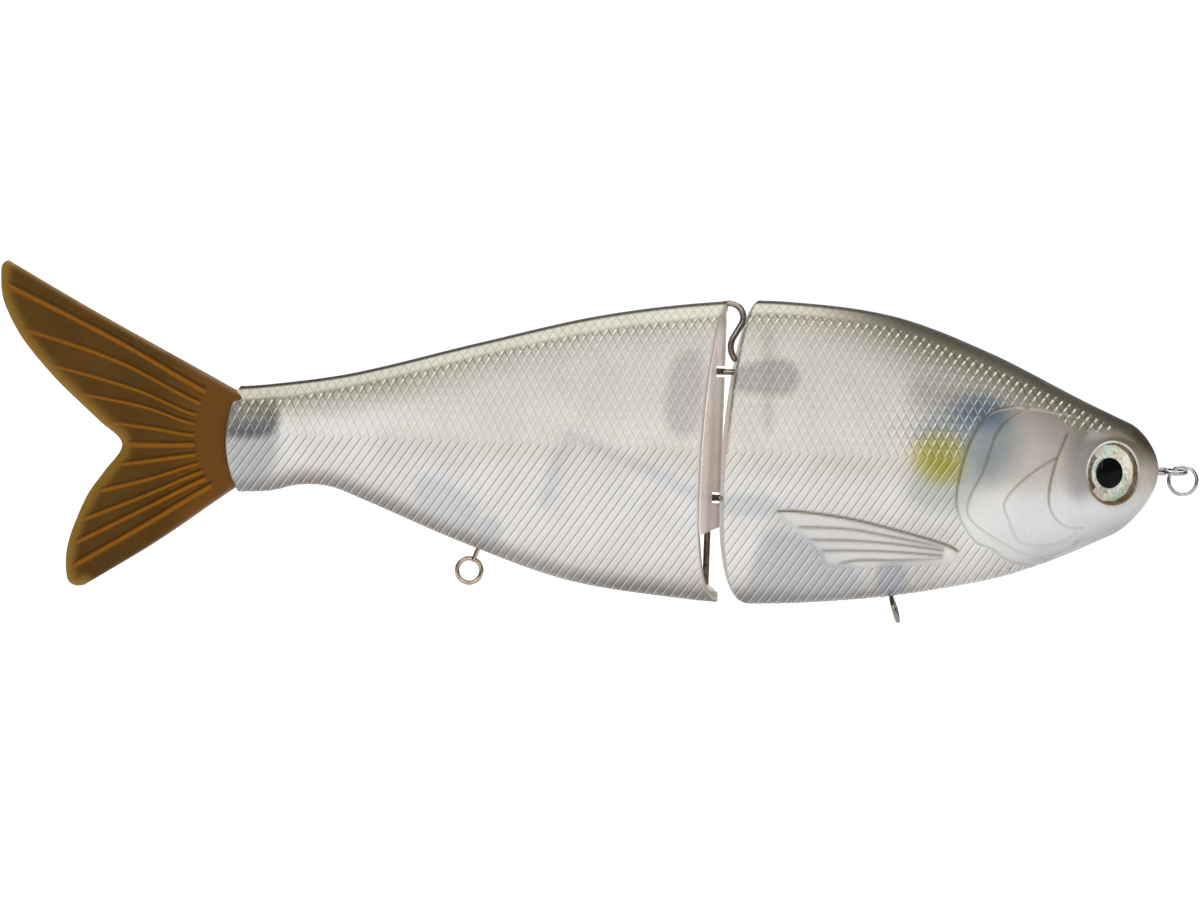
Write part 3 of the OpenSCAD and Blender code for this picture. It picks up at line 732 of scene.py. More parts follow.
class Nodes:
    """Builds a material's nodes with few words."""

    SOCKETS = {"coat": "Coat Weight", "coat_rough": "Coat Roughness", "metal": "Metallic",
               "ior": "IOR", "glass": "Transmission Weight", "spec": "Specular IOR Level",
               "sss": "Subsurface Weight", "sss_scale": "Subsurface Scale",
               "sss_radius": "Subsurface Radius", "glow": "Emission Strength"}

    def __init__(self, name):
        self.material = bpy.data.materials.new(name)
        self.material.use_nodes = True
        self.tree = self.material.node_tree
        self.tree.nodes.clear()
        out = self.add("ShaderNodeOutputMaterial")
        self.shader = self.add("ShaderNodeBsdfPrincipled")
        self.link(self.shader.outputs[0], out.inputs["Surface"])

    def add(self, kind):
        return self.tree.nodes.new(kind)

    def link(self, a, b):
        self.tree.links.new(a, b)

    def set(self, **values):
        """Gives the shader's own sockets their constants."""
        for key, value in values.items():
            self.shader.inputs[self.SOCKETS[key]].default_value = value

    def put(self, socket, value):
        """Feeds a socket from an output, a number or a linear colour."""
        if isinstance(value, bpy.types.NodeSocket):
            self.link(value, socket)
        elif isinstance(value, (int, float)):
            socket.default_value = value
        else:
            socket.default_value = (*value, 1)

    def to(self, name, value):
        self.put(self.shader.inputs[name], value)

    def math(self, kind, *values):
        node = self.add("ShaderNodeMath")
        node.operation = kind
        for socket, value in zip(node.inputs, values):
            self.put(socket, value)
        return node.outputs[0]

    def times(self, a, b):
        return self.math("MULTIPLY", a, b)

    def apart(self, a, b):
        """How far apart two values are."""
        return self.math("ABSOLUTE", self.math("SUBTRACT", a, b))

    def attribute(self, name, colour=False):
        node = self.add("ShaderNodeAttribute")
        node.attribute_name = name
        return node.outputs["Color" if colour else "Fac"]

    def coords(self):
        return self.add("ShaderNodeTexCoord").outputs["Object"]

    def axes(self):
        """X, Y and Z in metres."""
        split = self.add("ShaderNodeSeparateXYZ")
        self.link(self.coords(), split.inputs[0])
        return split.outputs

    def noise(self, scale, detail, rough=0.5):
        node = self.add("ShaderNodeTexNoise")
        node.inputs["Scale"].default_value = scale
        node.inputs["Detail"].default_value = detail
        node.inputs["Roughness"].default_value = rough
        self.link(self.coords(), node.inputs["Vector"])
        return node.outputs[0]

    def remap(self, value, low, high, new_low, new_high):
        node = self.add("ShaderNodeMapRange")
        node.interpolation_type = "SMOOTHSTEP"
        for socket, v in zip(node.inputs, (value, low, high, new_low, new_high)):
            self.put(socket, v)
        return node.outputs[0]

    def varied(self, scale, detail, low, high, start=0.3, stop=0.7):
        """Noise spread between two values."""
        return self.remap(self.noise(scale, detail), start, stop, low, high)

    def mix(self, share, a, b, kind="MIX"):
        node = self.add("ShaderNodeMix")
        node.data_type = "RGBA"
        node.blend_type = kind
        for i, value in ((0, share), (6, a), (7, b)):
            self.put(node.inputs[i], value)
        return node.outputs[2]

    def over(self, colour, share, strength, rgb):
        """Lays a display colour over another, as strong as a share times a strength."""
        return self.mix(self.times(share, strength), colour, srgb(*rgb))

    def bump(self, height, distance_mm, strength):
        node = self.add("ShaderNodeBump")
        node.inputs["Strength"].default_value = strength
        node.inputs["Distance"].default_value = distance_mm * MM
        self.link(height, node.inputs["Height"])
        self.to("Normal", node.outputs[0])

    def surface(self, colour, scale, detail, low, high):
        """Base colour, and a roughness that varies between two values."""
        self.to("Base Color", colour)
        self.to("Roughness", self.varied(scale, detail, low, high))


def fine_line(n, phase, offset, half):
    """1 on the lines of a family, 0 between them."""
    gap = n.apart(n.math("FRACT", n.math("ADD", phase, offset)), 0.5)
    return n.remap(gap, n.math("SUBTRACT", 0.5, half), 0.5, 0.0, 1.0)


def net_lines(n):
    """Painted highlights and painted shade along the lines of the scale net, whose two families
    cross, with faint dark scale outlines in the band.
    """
    first, second = n.attribute("first"), n.attribute("second")
    net, sharp = n.attribute("net"), n.attribute("sharp")
    broad = n.math("MULTIPLY_ADD", sharp, 0.13, 0.1)
    fade = n.remap(n.math("FRACT", second), 0.3, 0.95, 1.0, n.remap(sharp, 0.2, 0.9, 0.3, 0.02))
    rising_highlight = n.times(fine_line(n, first, 0.0, broad), fade)
    falling_highlight = n.times(fine_line(n, second, 0.16, 0.09), n.remap(sharp, 0.3, 0.8, 0.45, 0.0))
    rising_shade = n.times(fine_line(n, first, 0.19, broad), n.remap(sharp, 0.1, 0.7, 0.4, 1.0))
    light = n.math("MAXIMUM", rising_highlight, falling_highlight)
    dark = n.math("MAXIMUM", fine_line(n, second, 0.0, broad), rising_shade)
    light, dark = (n.times(n.times(lines, net), n.remap(sharp, 0.0, 1.0, least, 1.0))
                   for lines, least in ((light, 0.4), (dark, 0.24)))
    outlines = n.math("MAXIMUM", fine_line(n, first, 0.0, 0.12), fine_line(n, second, 0.0, 0.12))
    outlines = n.times(outlines, n.times(n.attribute("band"), 0.45))
    return light, n.math("MAXIMUM", dark, outlines)


def stripe_lines(n):
    """Fine slanted lines of the belly, painted as shade in each groove, each with a painted
    highlight on its pale side.
    """
    first, stripe = n.attribute("first"), n.attribute("stripe")
    # painted shade in each groove
    dark = n.times(fine_line(n, first, 0.0, 0.15), n.times(stripe, 0.6))
    # painted highlight on the pale side of each groove
    light = n.times(fine_line(n, first, 0.2, 0.13), n.times(stripe, 0.34))
    return light, dark


def skin_material():
    n = Nodes("moulded_plastic")
    light, dark = (n.math("ADD", net, stripe)
                   for net, stripe in zip(net_lines(n), stripe_lines(n)))
    grain = n.times(n.varied(160, 4, 0.955, 1.035), n.varied(2600, 2, 0.97, 1.03))
    colour = n.mix(1.0, n.attribute("tint", colour=True), grain, "MULTIPLY")
    # painted shade along the grooves of the scale net and the belly's lines, and the faint scale
    # outlines in the band
    colour = n.over(colour, dark, 0.8, (74, 66, 54))
    # painted highlights beside the grooves
    colour = n.over(colour, light, 0.8, (246, 244, 234))
    colour = n.over(colour, n.attribute("face"), 0.6, (214, 203, 193))
    n.surface(colour, 420, 3, 0.27, 0.36)
    n.bump(n.math("ADD", n.math("SUBTRACT", light, dark), n.times(n.noise(900, 3), 0.25)), 0.07, 0.7)
    shine = n.math("SUBTRACT", 1.0, n.attribute("dull"))
    n.to("Specular IOR Level", n.math("MULTIPLY_ADD", shine, 0.18, 0.05))
    n.to("Coat Weight", n.times(shine, 0.1))
    n.set(coat_rough=0.12, ior=1.46, sss=0.12, sss_scale=0.0012, sss_radius=(1.0, 0.9, 0.8))
    return n.material


# strength of the painted glow of the clear plastic
CLEAR_GLOW = 0.2


def clear_material():
    """Clear, faintly pink plastic, with painted shade where the pin shows through, and a painted
    glow of its own colour that stands in for the light behind it showing through.
    """
    n = Nodes("clear_plastic")
    x, _, z = n.axes()
    along = n.times(x, 1 / MM)
    # painted shade where the pin shows through the plastic
    pin = n.remap(n.apart(along, at(PIN_AT)), 0.35, 0.6, 0.25, 0.0)
    edge = n.remap(n.apart(along, at(TONGUE_AT + 0.55)), 0.05, 0.3, 0.4, 0.0)
    high = n.remap(z, 18 * MM, 22 * MM, 0.0, 0.75)
    colour = n.mix(n.varied(90, 2, 0.0, 1.0, start=0.35), srgb(226, 216, 209), srgb(216, 207, 201))
    for share, rgb in ((pin, (150, 140, 134)), (edge, (140, 128, 120)), (high, (112, 102, 92))):
        colour = n.mix(share, colour, srgb(*rgb))
    n.surface(colour, 300, 2, 0.24, 0.3)
    # painted glow: the plastic gives off its own colour in place of the light let through from
    # behind
    n.to("Emission Color", colour)
    n.bump(n.noise(200, 2), 0.03, 0.25)
    n.set(ior=1.46, coat=0.3, coat_rough=0.08, spec=0.35, glow=CLEAR_GLOW)
    return n.material


def metal_material(name, low, high, rough=(0.16, 0.3)):
    """Worn metal between two display colours."""
    n = Nodes(name)
    share = n.remap(n.noise(700, 5, rough=0.6), 0.3, 0.7, 0.0, 1.0)
    n.surface(n.mix(share, srgb(*low), srgb(*high)), 1500, 3, *rough)
    n.bump(n.noise(2400, 2), 0.01, 0.3)
    n.set(metal=1.0)
    return n.material


def rubber_material():
    n = Nodes("tail_rubber")
    colour = n.mix(n.varied(110, 5, 0.0, 1.0, stop=0.72), srgb(67, 44, 3), srgb(78, 52, 6))
    # edge is a painted glow where the thin trailing edge lets light through, upper a painted
    # highlight along the upper edge, and groove painted shade beside each ray
    for key, strength, rgb in (("root", 0.9, (93, 59, 12)), ("edge", 0.6, (146, 112, 44)),
                               ("upper", 0.5, (128, 96, 52)), ("ridge", 0.9, (128, 78, 0)),
                               ("groove", 0.85, (44, 28, 4))):
        colour = n.over(colour, n.attribute(key), strength, rgb)
    n.surface(colour, 800, 4, 0.4, 0.52)
    n.bump(n.noise(1400, 3), 0.03, 0.35)
    n.set(sss=0.12, sss_scale=0.001, sss_radius=(1.0, 0.6, 0.2), ior=1.42, spec=0.12)
    return n.material


def foil_material():
    n = Nodes("eye_foil")
    share = n.varied(900, 3, 0.0, 0.08, 0.35, 0.65)
    colour = n.mix(share, n.attribute("tint", colour=True), srgb(232, 238, 230))
    n.surface(colour, 1800, 2, 0.22, 0.34)
    n.set(metal=0.2, spec=0.4)
    return n.material


def pupil_material():
    n = Nodes("pupil_black")
    n.surface(n.mix(n.noise(600, 2), srgb(3, 3, 3), srgb(8, 7, 7)), 900, 2, 0.5, 0.6)
    n.set(spec=0.05)
    return n.material


def lens_material():
    n = Nodes("lens_clear")
    colour = n.mix(n.noise(500, 2), (0.97, 0.98, 0.975), (1.0, 1.0, 1.0))
    n.surface(colour, 700, 2, 0.0, 0.02)
    n.set(glass=1.0, ior=1.17)
    return n.material


def ring_material():
    """Ring that is pale above and gold-brown below, as the light catches it."""
    n = Nodes("eye_ring")
    low = n.remap(n.axes()[2], -4.6 * MM, 1.5 * MM, 1.0, 0.0)
    worn = n.mix(n.varied(800, 3, 0.0, 1.0), srgb(172, 166, 156), srgb(196, 192, 186))
    n.surface(n.mix(low, worn, srgb(104, 78, 34)), 900, 2, 0.2, 0.3)
    n.set(coat=0.3)
    return n.material


# ---- wires ----

CIRCLE_STEPS = 96
DOME_STEPS, DOME_TIP = 5, 0.12
FRAME_START = [0.31, 0.87, 0.38]


def tube_points(path, radii, sides):
    """Rings of points along a path, the frames carried smoothly."""
    along = unit(np.gradient(path, axis=0))
    normal = unit(np.cross(along[0], FRAME_START))
    turn = np.linspace(0, 2 * math.pi, sides, endpoint=False)[:, None]
    rings = []
    for centre, way, r in zip(path, along, radii):
        normal = unit(normal - way * (normal @ way))
        rings.append(centre + r * (np.cos(turn) * normal + np.sin(turn) * np.cross(way, normal)))
    return np.array(rings)


def rounded_ends(path, radius):
    """Path and radii with dome-shaped ends."""
    p = np.array(path, float)
    turns = np.linspace(math.pi / 2, DOME_TIP, DOME_STEPS)
    first = p[0] + unit(p[0] - p[1]) * radius * np.cos(turns[::-1, None])
    last = p[-1] + unit(p[-1] - p[-2]) * radius * np.cos(turns[:, None])
    radii = [radius * np.sin(turns[::-1]), np.full(len(p) - 2, radius), radius * np.sin(turns)]
    return np.concatenate([first, p[1:-1], last]), np.concatenate(radii)


def tube(name, path, radius, sides=20, closed=False):
    """Wire along a path, with domed ends or closed on itself."""
    if closed:
        rings = closed_rings(path, radius, sides)
        faces = (grid_quads(len(rings) + 1, sides, wrap=True) % (len(rings) * sides)).tolist()
    else:
        rings = tube_points(*rounded_ends(path, radius), sides)
        last = (len(rings) - 1) * sides
        faces = grid_quads(len(rings), sides, wrap=True).tolist()
        faces += [list(range(sides))[::-1], list(range(last, last + sides))]
    piece = make_piece(name, rings.reshape(-1, 3), faces)
    finish_mesh(piece)
    return piece


def closed_rings(path, radius, sides):
    """Rings around a plane closed path."""
    p = np.array(path, float)
    along = unit(np.roll(p, -1, axis=0) - np.roll(p, 1, axis=0))
    centre = p.mean(0)
    axis = unit(np.cross(p[0] - centre, p[len(p) // 4] - centre))
    out = np.cross(along, axis)[:, None, :]
    turn = np.linspace(0, 2 * math.pi, sides, endpoint=False)[None, :, None]
    return p[:, None, :] + radius * (np.cos(turn) * out + np.sin(turn) * axis)


def arc_points(centre, u, v, r, turns):
    """Points at the given turns of a circle, from the direction u towards v."""
    u, v = np.array(u, float), np.array(v, float)
    return np.array(centre, float) + r * (np.cos(turns)[:, None] * u + np.sin(turns)[:, None] * v)


def circle(centre, u, v, r):
    return arc_points(centre, u, v, r, np.linspace(0, 2 * math.pi, CIRCLE_STEPS, endpoint=False))


def joined(name, parts):
    """One piece from several finished meshes."""
    bm = bmesh.new()
    for part in parts:
        bm.from_mesh(part.data)
    mesh = bpy.data.meshes.new(name)
    bm.to_mesh(mesh)
    bm.free()
    for part in parts:
        bpy.data.objects.remove(part, do_unlink=True)
    return add_object(name, mesh)


def line_between(a, b, count=12):
    return np.linspace(np.array(a, float), np.array(b, float), count)


TIE_R, TIE_WIRE = 1.6, 0.36
TIE_TILT = math.radians(10)
TIE_STRAND = 0.33


def line_tie(steel):
    """Wire eye at the snout: a closed loop on two strands that enter the nose."""
    v = [0, math.cos(TIE_TILT), math.sin(TIE_TILT)]
    loop = tube("tie_loop", circle([0, 0, 0], [1, 0, 0], v, TIE_R), TIE_WIRE, closed=True)
    strands = [tube("strand", line_between([-TIE_R - 0.2, 0, side * TIE_STRAND],
                                           [-TIE_REACH - 3, 0, side * TIE_STRAND]), TIE_WIRE)
               for side in (1, -1)]
    piece = joined("line_tie_wire", [loop] + strands)
    place(piece, steel, "front", ["line_tie"])


RING_CENTRE, RING_OD, RING_WIRE = [1.15, -1.36], 4.95, 0.56
RING_START, RING_TRIM, RING_CROSSING, RING_APART = 2.4, 0.15, 0.45, 0.49


def split_ring(steel):
    """Two turns of spring wire side by side, with one crossing between them."""
    r = (RING_OD - RING_WIRE) / 2
    turn = np.linspace(RING_TRIM, 4 * math.pi - RING_TRIM, 240)
    side = np.sign(turn - 2 * math.pi) * ramp(np.abs(turn - 2 * math.pi), 0.0, RING_CROSSING)
    centre = [RING_CENTRE[0], 0, RING_CENTRE[1]]
    path = arc_points(centre, [1, 0, 0], [0, 0, 1], r, turn + RING_START)
    path[:, 1] = side * RING_APART * RING_WIRE
    piece = tube("split_ring_wire", path, RING_WIRE / 2, sides=16)
    place(piece, steel, "split_ring", ["split_ring"])


PIN_R = 0.5
HOOK_R, HOOK_LEVEL, HOOK_OVER, HOOK_STRAIGHT = 2.2, 21.5, math.radians(30), 2.2
HOOK_TIP_R, HOOK_TIP_SWEEP = 3, math.radians(70)
PIN_BOTTOM = -21.2


def hinge_pin(steel):
    """Straight wire whose upper end is bent over into a hook."""
    x, u, v = at(PIN_AT), [1, 0, 0], [0, 0, 1]
    straight = line_between([x, 0, PIN_BOTTOM], [x, 0, HOOK_LEVEL], 40)
    over = np.linspace(math.pi, -HOOK_OVER, 36)[1:]
    bend = arc_points([x + HOOK_R, 0, HOOK_LEVEL], u, v, HOOK_R, over)
    along = np.array([-math.sin(HOOK_OVER), 0, -math.cos(HOOK_OVER)])
    leg = bend[-1] + np.linspace(0, HOOK_STRAIGHT, 8)[1:, None] * along
    centre = leg[-1] + HOOK_TIP_R * np.array([math.cos(HOOK_OVER), 0, -math.sin(HOOK_OVER)])
    back = math.pi - HOOK_OVER + np.linspace(0, HOOK_TIP_SWEEP, 22)[1:]
    tip = arc_points(centre, u, v, HOOK_TIP_R, back)
    piece = tube("hinge_pin_wire", np.concatenate([straight, bend, leg, tip]), PIN_R, sides=24)
    place(piece, steel, "rear", ["hinge_pin"])


HINGE_EYE_R, HINGE_SHANK = 1.15, 10


def hinge_eye(level, name, steel):
    """Wire eye around the pin, on a shank that enters the front section."""
    centre = np.array([at(PIN_AT), 0, level])
    loop = tube("loop", circle(centre, [1, 0, 0], [0, 1, 0], HINGE_EYE_R), PIN_R, closed=True)
    shank = line_between(centre + [HINGE_EYE_R, 0, 0], centre + [HINGE_SHANK, 0, 0])
    piece = joined(f"{name}_wire", [loop, tube("shank", shank, PIN_R)])
    place(piece, steel, "front", [name])


HANGER_WIRE, HANGER_LOOP_R = 0.36, 1.9
HANGER_GAP, HANGER_SHANK = math.radians(14), 3.8


def hanger(name, body, start, lean, drop, turn, steel):
    """Wire loop on a shank, hanging from its bush; the loop's two ends close on the shank."""
    lean, turn = math.radians(lean), math.radians(turn)
    down = np.array([math.sin(lean), 0, -math.cos(lean)])
    wide = np.array([math.cos(lean), 0, math.sin(lean)]) * math.cos(turn)
    wide[1] = math.sin(turn)
    base = np.array([at(start[0]), 0, start[1]])
    centre = base + down * drop
    sweep = np.linspace(HANGER_GAP, 2 * math.pi - HANGER_GAP, 90)
    loop = tube("loop", arc_points(centre, -down, wide, HANGER_LOOP_R, sweep), HANGER_WIRE)
    neck = line_between(base - down * HANGER_SHANK, centre - down * (HANGER_LOOP_R - 0.1))
    piece = joined(f"{name}_wire", [loop, tube("shank", neck, HANGER_WIRE)])
    place(piece, steel, body, [name])


# ---- eyes ----

def revolve(name, profile, centre, axis, count=96):
    """Solid of revolution from [radius, height] points; the first and last lie on the axis."""
    axis = np.array(axis, float)
    up = np.array([1.0, 0, 0]) if abs(axis[2]) > 0.9 else np.array([0, 0, 1.0])
    turn = np.linspace(0, 2 * math.pi, count, endpoint=False)
    rings = [arc_points(centre + h * axis, up, np.cross(up, axis), r, turn) for r, h in profile]
    quads = grid_quads(len(profile), count, wrap=True).tolist()
    piece = make_piece(name, np.concatenate(rings), quads)
    finish_mesh(piece, merge=1e-3)
    return piece


def eye_place(side):
    return np.array([at(EYE_AT[0]), side * EYE_AT[1], EYE_AT[2]])


FOIL_RINGS = [1.9, 3.1, 4.35]
FOIL_SEGMENTS, FOIL_RIM_STEPS = 12, 64
FOIL_SHIFT = 0.22
FOIL_SHADE = (92, 76, 44)
FOIL_LEVEL = -0.9
FOIL_COLOURS = [(236, 230, 210), (212, 206, 186), (224, 216, 200), (176, 204, 184), (232, 212, 200),
                (190, 188, 168), (196, 216, 200), (150, 138, 104), (228, 228, 214), (240, 238, 226)]
FOIL_RIM = (120, 96, 52)


def iris(side, label, foil):
    """Foil disc of small tilted facets, in a flat rim."""
    axis, up = eye_axis(side), np.array([0, 0, 1.0])
    wide = np.cross(up, axis)
    centre = eye_place(side) + FOIL_LEVEL * axis
    middle = centre + side * FOIL_SHIFT * wide
    rng = np.random.default_rng(11)
    points, colours = [], []
    for ring, (r0, r1) in enumerate(zip(FOIL_RINGS[:-1], FOIL_RINGS[1:])):
        for k in range(FOIL_SEGMENTS):
            a0 = 2 * math.pi * (k + 0.5 * (ring % 2)) / FOIL_SEGMENTS
            a1 = a0 + 2 * math.pi / FOIL_SEGMENTS
            colour = FOIL_COLOURS[rng.integers(len(FOIL_COLOURS))]
            if ring and side * math.sin((a0 + a1) / 2) > 0.8:
                colour = FOIL_SHADE
            tilt = rng.uniform(-0.07, 0.07, 4)
            for r, turn, h in zip((r0, r0, r1, r1), (a0, a1, a1, a0), tilt):
                points.append(middle + h * axis + r * (math.cos(turn) * up + math.sin(turn) * wide))
            colours += [srgb(*colour)] * 4
    disc = len(points)
    faces = np.arange(disc).reshape(-1, 4).tolist()
    outer, inner = EYE_R - 0.05, FOIL_RINGS[-1] + FOIL_SHIFT
    outline = [[0, -0.2], [outer, -0.2], [outer, 0.05], [inner, 0.0], [inner, -0.1], [0, -0.1]]
    turns = np.linspace(0, 2 * math.pi, FOIL_RIM_STEPS, endpoint=False)
    for r, h in outline:
        points += list(arc_points(centre + h * axis, up, wide, r, turns))
    colours += [srgb(*FOIL_RIM)] * (len(points) - disc)
    faces += (grid_quads(len(outline), FOIL_RIM_STEPS, wrap=True) + disc).tolist()
    piece = make_piece(f"iris_foil_{label}", points, faces, flat_faces=range(len(faces)))
    store_colour(piece, "tint", np.array(colours))
    finish_mesh(piece, merge=1e-4)
    place(piece, foil, "front", [f"iris_{label}"])


PUPIL_W, PUPIL_H = 2.32, 2.28


def pupil(side, label, black):
    axis = eye_axis(side)
    wide = np.cross([0, 0, 1.0], axis)
    centre = eye_place(side) + axis * (FOIL_LEVEL + 0.12) + side * FOIL_SHIFT * wide
    profile = [[0, -0.1], [0.96, -0.1], [1, 0], [0.9, 0.1], [0.6, 0.2], [0, 0.26]]
    piece = revolve(f"pupil_{label}", profile, [0, 0, 0], [0, 0, 1], count=64)
    for v in piece.data.vertices:
        u, w, h = v.co.x / MM, v.co.y / MM, v.co.z / MM
        v.co = Vector((centre + wide * u * PUPIL_W + np.array([0, 0, 1.0]) * w * PUPIL_H
                       + axis * h) * MM)
    finish_mesh(piece)
    place(piece, black, "front")


def lens(side, label, glass):
    """Clear dome with a short upright rim."""
    base, rim, rise = FOIL_LEVEL + 0.2, 0.7, 1.5
    dome_r = (EYE_R ** 2 + rise ** 2) / (2 * rise)
    top = base + rim + rise
    profile = [[0, base], [EYE_R - 0.12, base], [EYE_R - 0.03, base + 0.08], [EYE_R, base + 0.2]]
    for k in range(13):
        r = EYE_R * math.cos(k / 12 * math.pi / 2)
        profile.append([r, top - dome_r + math.sqrt(dome_r ** 2 - r ** 2)])
    piece = revolve(f"lens_{label}", profile, eye_place(side), eye_axis(side))
    place(piece, glass, "front", [f"eye_lens_{label}"])


def collar(side, label, material):
    """Moulded ring around the eye."""
    axis = eye_axis(side)
    wide = np.cross([0, 0, 1.0], axis)
    path = circle(eye_place(side) + axis * 0.1, wide, [0, 0, 1], EYE_R + 0.17)
    piece = tube(f"eye_ring_{label}", path, 0.2, sides=14, closed=True)
    place(piece, material, "front")


# ---- the tongue, with the slots for the hinge eyes ----

def half_width_at(s, z):
    """Half-width of the body at a station and height."""
    low, high = -math.pi / 2, math.pi / 2
    for _ in range(SOLVE_STEPS):
        mid = (low + high) / 2
        y, height = section(np.array([s]), np.array([mid]))
        if height[0] < z:
            low = mid
        else:
            high = mid
    return float(y[0])


TONGUE_BACK = 72.25
TONGUE_TOP, TONGUE_BOTTOM = 22.75, [-12.9, -11.2]
TONGUE_RIDGE = 0.45
SLOT_HALF, SLOT_BACK, SLOT_R = 0.85, 69.7, 1.95
CUT_AHEAD = 60


def tongue_half_width(z):
    """Reach of the tongue's face to the skin's inner edge."""
    y = 10.0
    for _ in range(SOLVE_STEPS):
        y = 0.5 * y + 0.5 * half_width_at(TONGUE_AT + TONGUE_SLOPE * y, z)
    return max(y - EDGE_WALL - 0.06, 0.4)


def back_to_back(rows, cols):
    """Faces of two grids, one behind the other, and the number of the second one's first point."""
    quads = grid_quads(rows, cols)
    off = rows * cols
    return quads.tolist() + (off + quads[:, ::-1]).tolist(), off


def cutter(name, points, faces):
    piece = make_piece(name, points, faces, flat_faces=range(len(faces)))
    finish_mesh(piece)
    return piece


def prism(name, outline, depth):
    """Solid of an outline in [station, height], right across the body."""
    n = len(outline)
    points = [[at(s), y, z] for y in (-depth, depth) for s, z in outline]
    faces = [list(range(n)), list(range(2 * n - 1, n - 1, -1))]
    faces += [[i, (i + 1) % n, n + (i + 1) % n, n + i] for i in range(n)]
    return cutter(name, points, faces)


def cut(piece, tool):
    """Takes a tool's shape out of a piece."""
    mod = piece.modifiers.new("cut", "BOOLEAN")
    mod.object = tool
    mod.operation = "DIFFERENCE"
    mod.solver = "EXACT"
    bake(piece)
    bpy.data.objects.remove(tool, do_unlink=True)


def bake(piece):
    """Applies a piece's modifiers."""
    bpy.context.view_layer.update()
    graph = bpy.context.evaluated_depsgraph_get()
    mesh = bpy.data.meshes.new_from_object(piece.evaluated_get(graph))
    piece.modifiers.clear()
    piece.data = mesh


def tongue_wall():
    """The tongue before its cuts: a V-shaped face with a rounded ridge, and a flat back."""
    levels = np.linspace(TONGUE_BOTTOM[0] - 1.2, TONGUE_TOP, 60)
    reach = np.array([tongue_half_width(z) for z in levels])
    y = reach[:, None] * np.linspace(-1, 1, 49)
    s = TONGUE_AT + TONGUE_SLOPE * np.sqrt(y ** 2 + TONGUE_RIDGE ** 2)
    front = np.stack([at(s), y, np.tile(levels[:, None], y.shape[1])], axis=-1)
    back = front.copy()
    back[..., 0] = at(TONGUE_BACK)
    rows, cols = y.shape
    faces, off = back_to_back(rows, cols)
    border = (list(range(cols)) + [r * cols + cols - 1 for r in range(1, rows)]
              + [(rows - 1) * cols + c for c in range(cols - 2, -1, -1)]
              + [r * cols for r in range(rows - 2, 0, -1)])
    faces += [[a, off + a, off + b, b] for a, b in zip(border, border[1:] + border[:1])]
    piece = make_piece("tongue", np.concatenate([front.reshape(-1, 3), back.reshape(-1, 3)]), faces)
    finish_mesh(piece)
    return piece


def tongue(clear):
    """V-shaped front wall of the rear section, with slots for the hinge eyes and the hook."""
    piece = tongue_wall()
    low, high = TONGUE_BOTTOM
    cut(piece, prism("below", [[CUT_AHEAD, high + 3], [TONGUE_AT, high], [RECESS_BACK, low],
                               [76, -14.5], [76, -20], [CUT_AHEAD, -20]], 20))
    for level in EYE_LEVELS:
        low, high = level - SLOT_HALF, level + SLOT_HALF
        cut(piece, prism("slot", [[CUT_AHEAD, low], [SLOT_BACK, low], [SLOT_BACK, high],
                                  [CUT_AHEAD, high]], 20))
        profile = [[0, -SLOT_HALF], [SLOT_R, -SLOT_HALF], [SLOT_R, SLOT_HALF], [0, SLOT_HALF]]
        cut(piece, revolve("hole", profile, [at(PIN_AT), 0, level], [0, 0, 1], count=48))
    cut(piece, make_box([at(69.6), -0.56, 21.2], [at(CUT_AHEAD), 0.56, 30]))
    soften(piece, 0.12)
    place(piece, clear, "rear", ["rear_shell_left", "rear_shell_right"])


def make_box(low, high):
    x0, y0, z0 = low
    x1, y1, z1 = high
    points = [[x, y, z] for x in (x0, x1) for y in (y0, y1) for z in (z0, z1)]
    faces = [[0, 1, 3, 2], [4, 6, 7, 5], [0, 4, 5, 1], [2, 3, 7, 6], [0, 2, 6, 4], [1, 5, 7, 3]]
    return cutter("box", points, faces)


def soften(piece, width):
    """Small rounding of a piece's sharp edges."""
    mod = piece.modifiers.new("soft", "BEVEL")
    mod.width = width * MM
    mod.segments = 2
    mod.limit_method = "ANGLE"
    mod.angle_limit = math.radians(35)
    bake(piece)
    mesh = piece.data
    mesh.polygons.foreach_set("use_smooth", np.ones(len(mesh.polygons), bool))
    mesh.set_sharp_from_angle(angle=math.radians(40))


LIP_OUTLINE = [[72.6, -19.9], [71.3, -20], [69.4, -20.4], [68.8, -20.8], [68.5, -21.4],
               [68.55, -21.9], [69.2, -22.2], [72.6, -22.2]]


def belly_lip(clear):
    """Solid block under the recess that seats the pin's foot."""
    piece = prism("belly_lip", LIP_OUTLINE, 1.5)
    soften(piece, 0.15)
    place(piece, clear, "rear", ["rear_shell_left", "rear_shell_right"])


# ---- tail ----

TAIL_ROOT_AT = 141.6
TAIL_TRAIL = [[180.5, 26.3], [181.3, 25.8], [181.6, 24.4], [181.1, 20.2], [178.9, 15.7],
              [176.3, 12.2], [172.7, 8.3], [169.8, 5.6], [165.5, 1.8], [161.8, -1.7],
              [164.4, -6], [166.8, -9.6], [168.7, -14.2], [169.7, -17.7], [169.9, -20.5],
              [169.5, -23.1], [168.3, -24], [166.9, -23.9]]
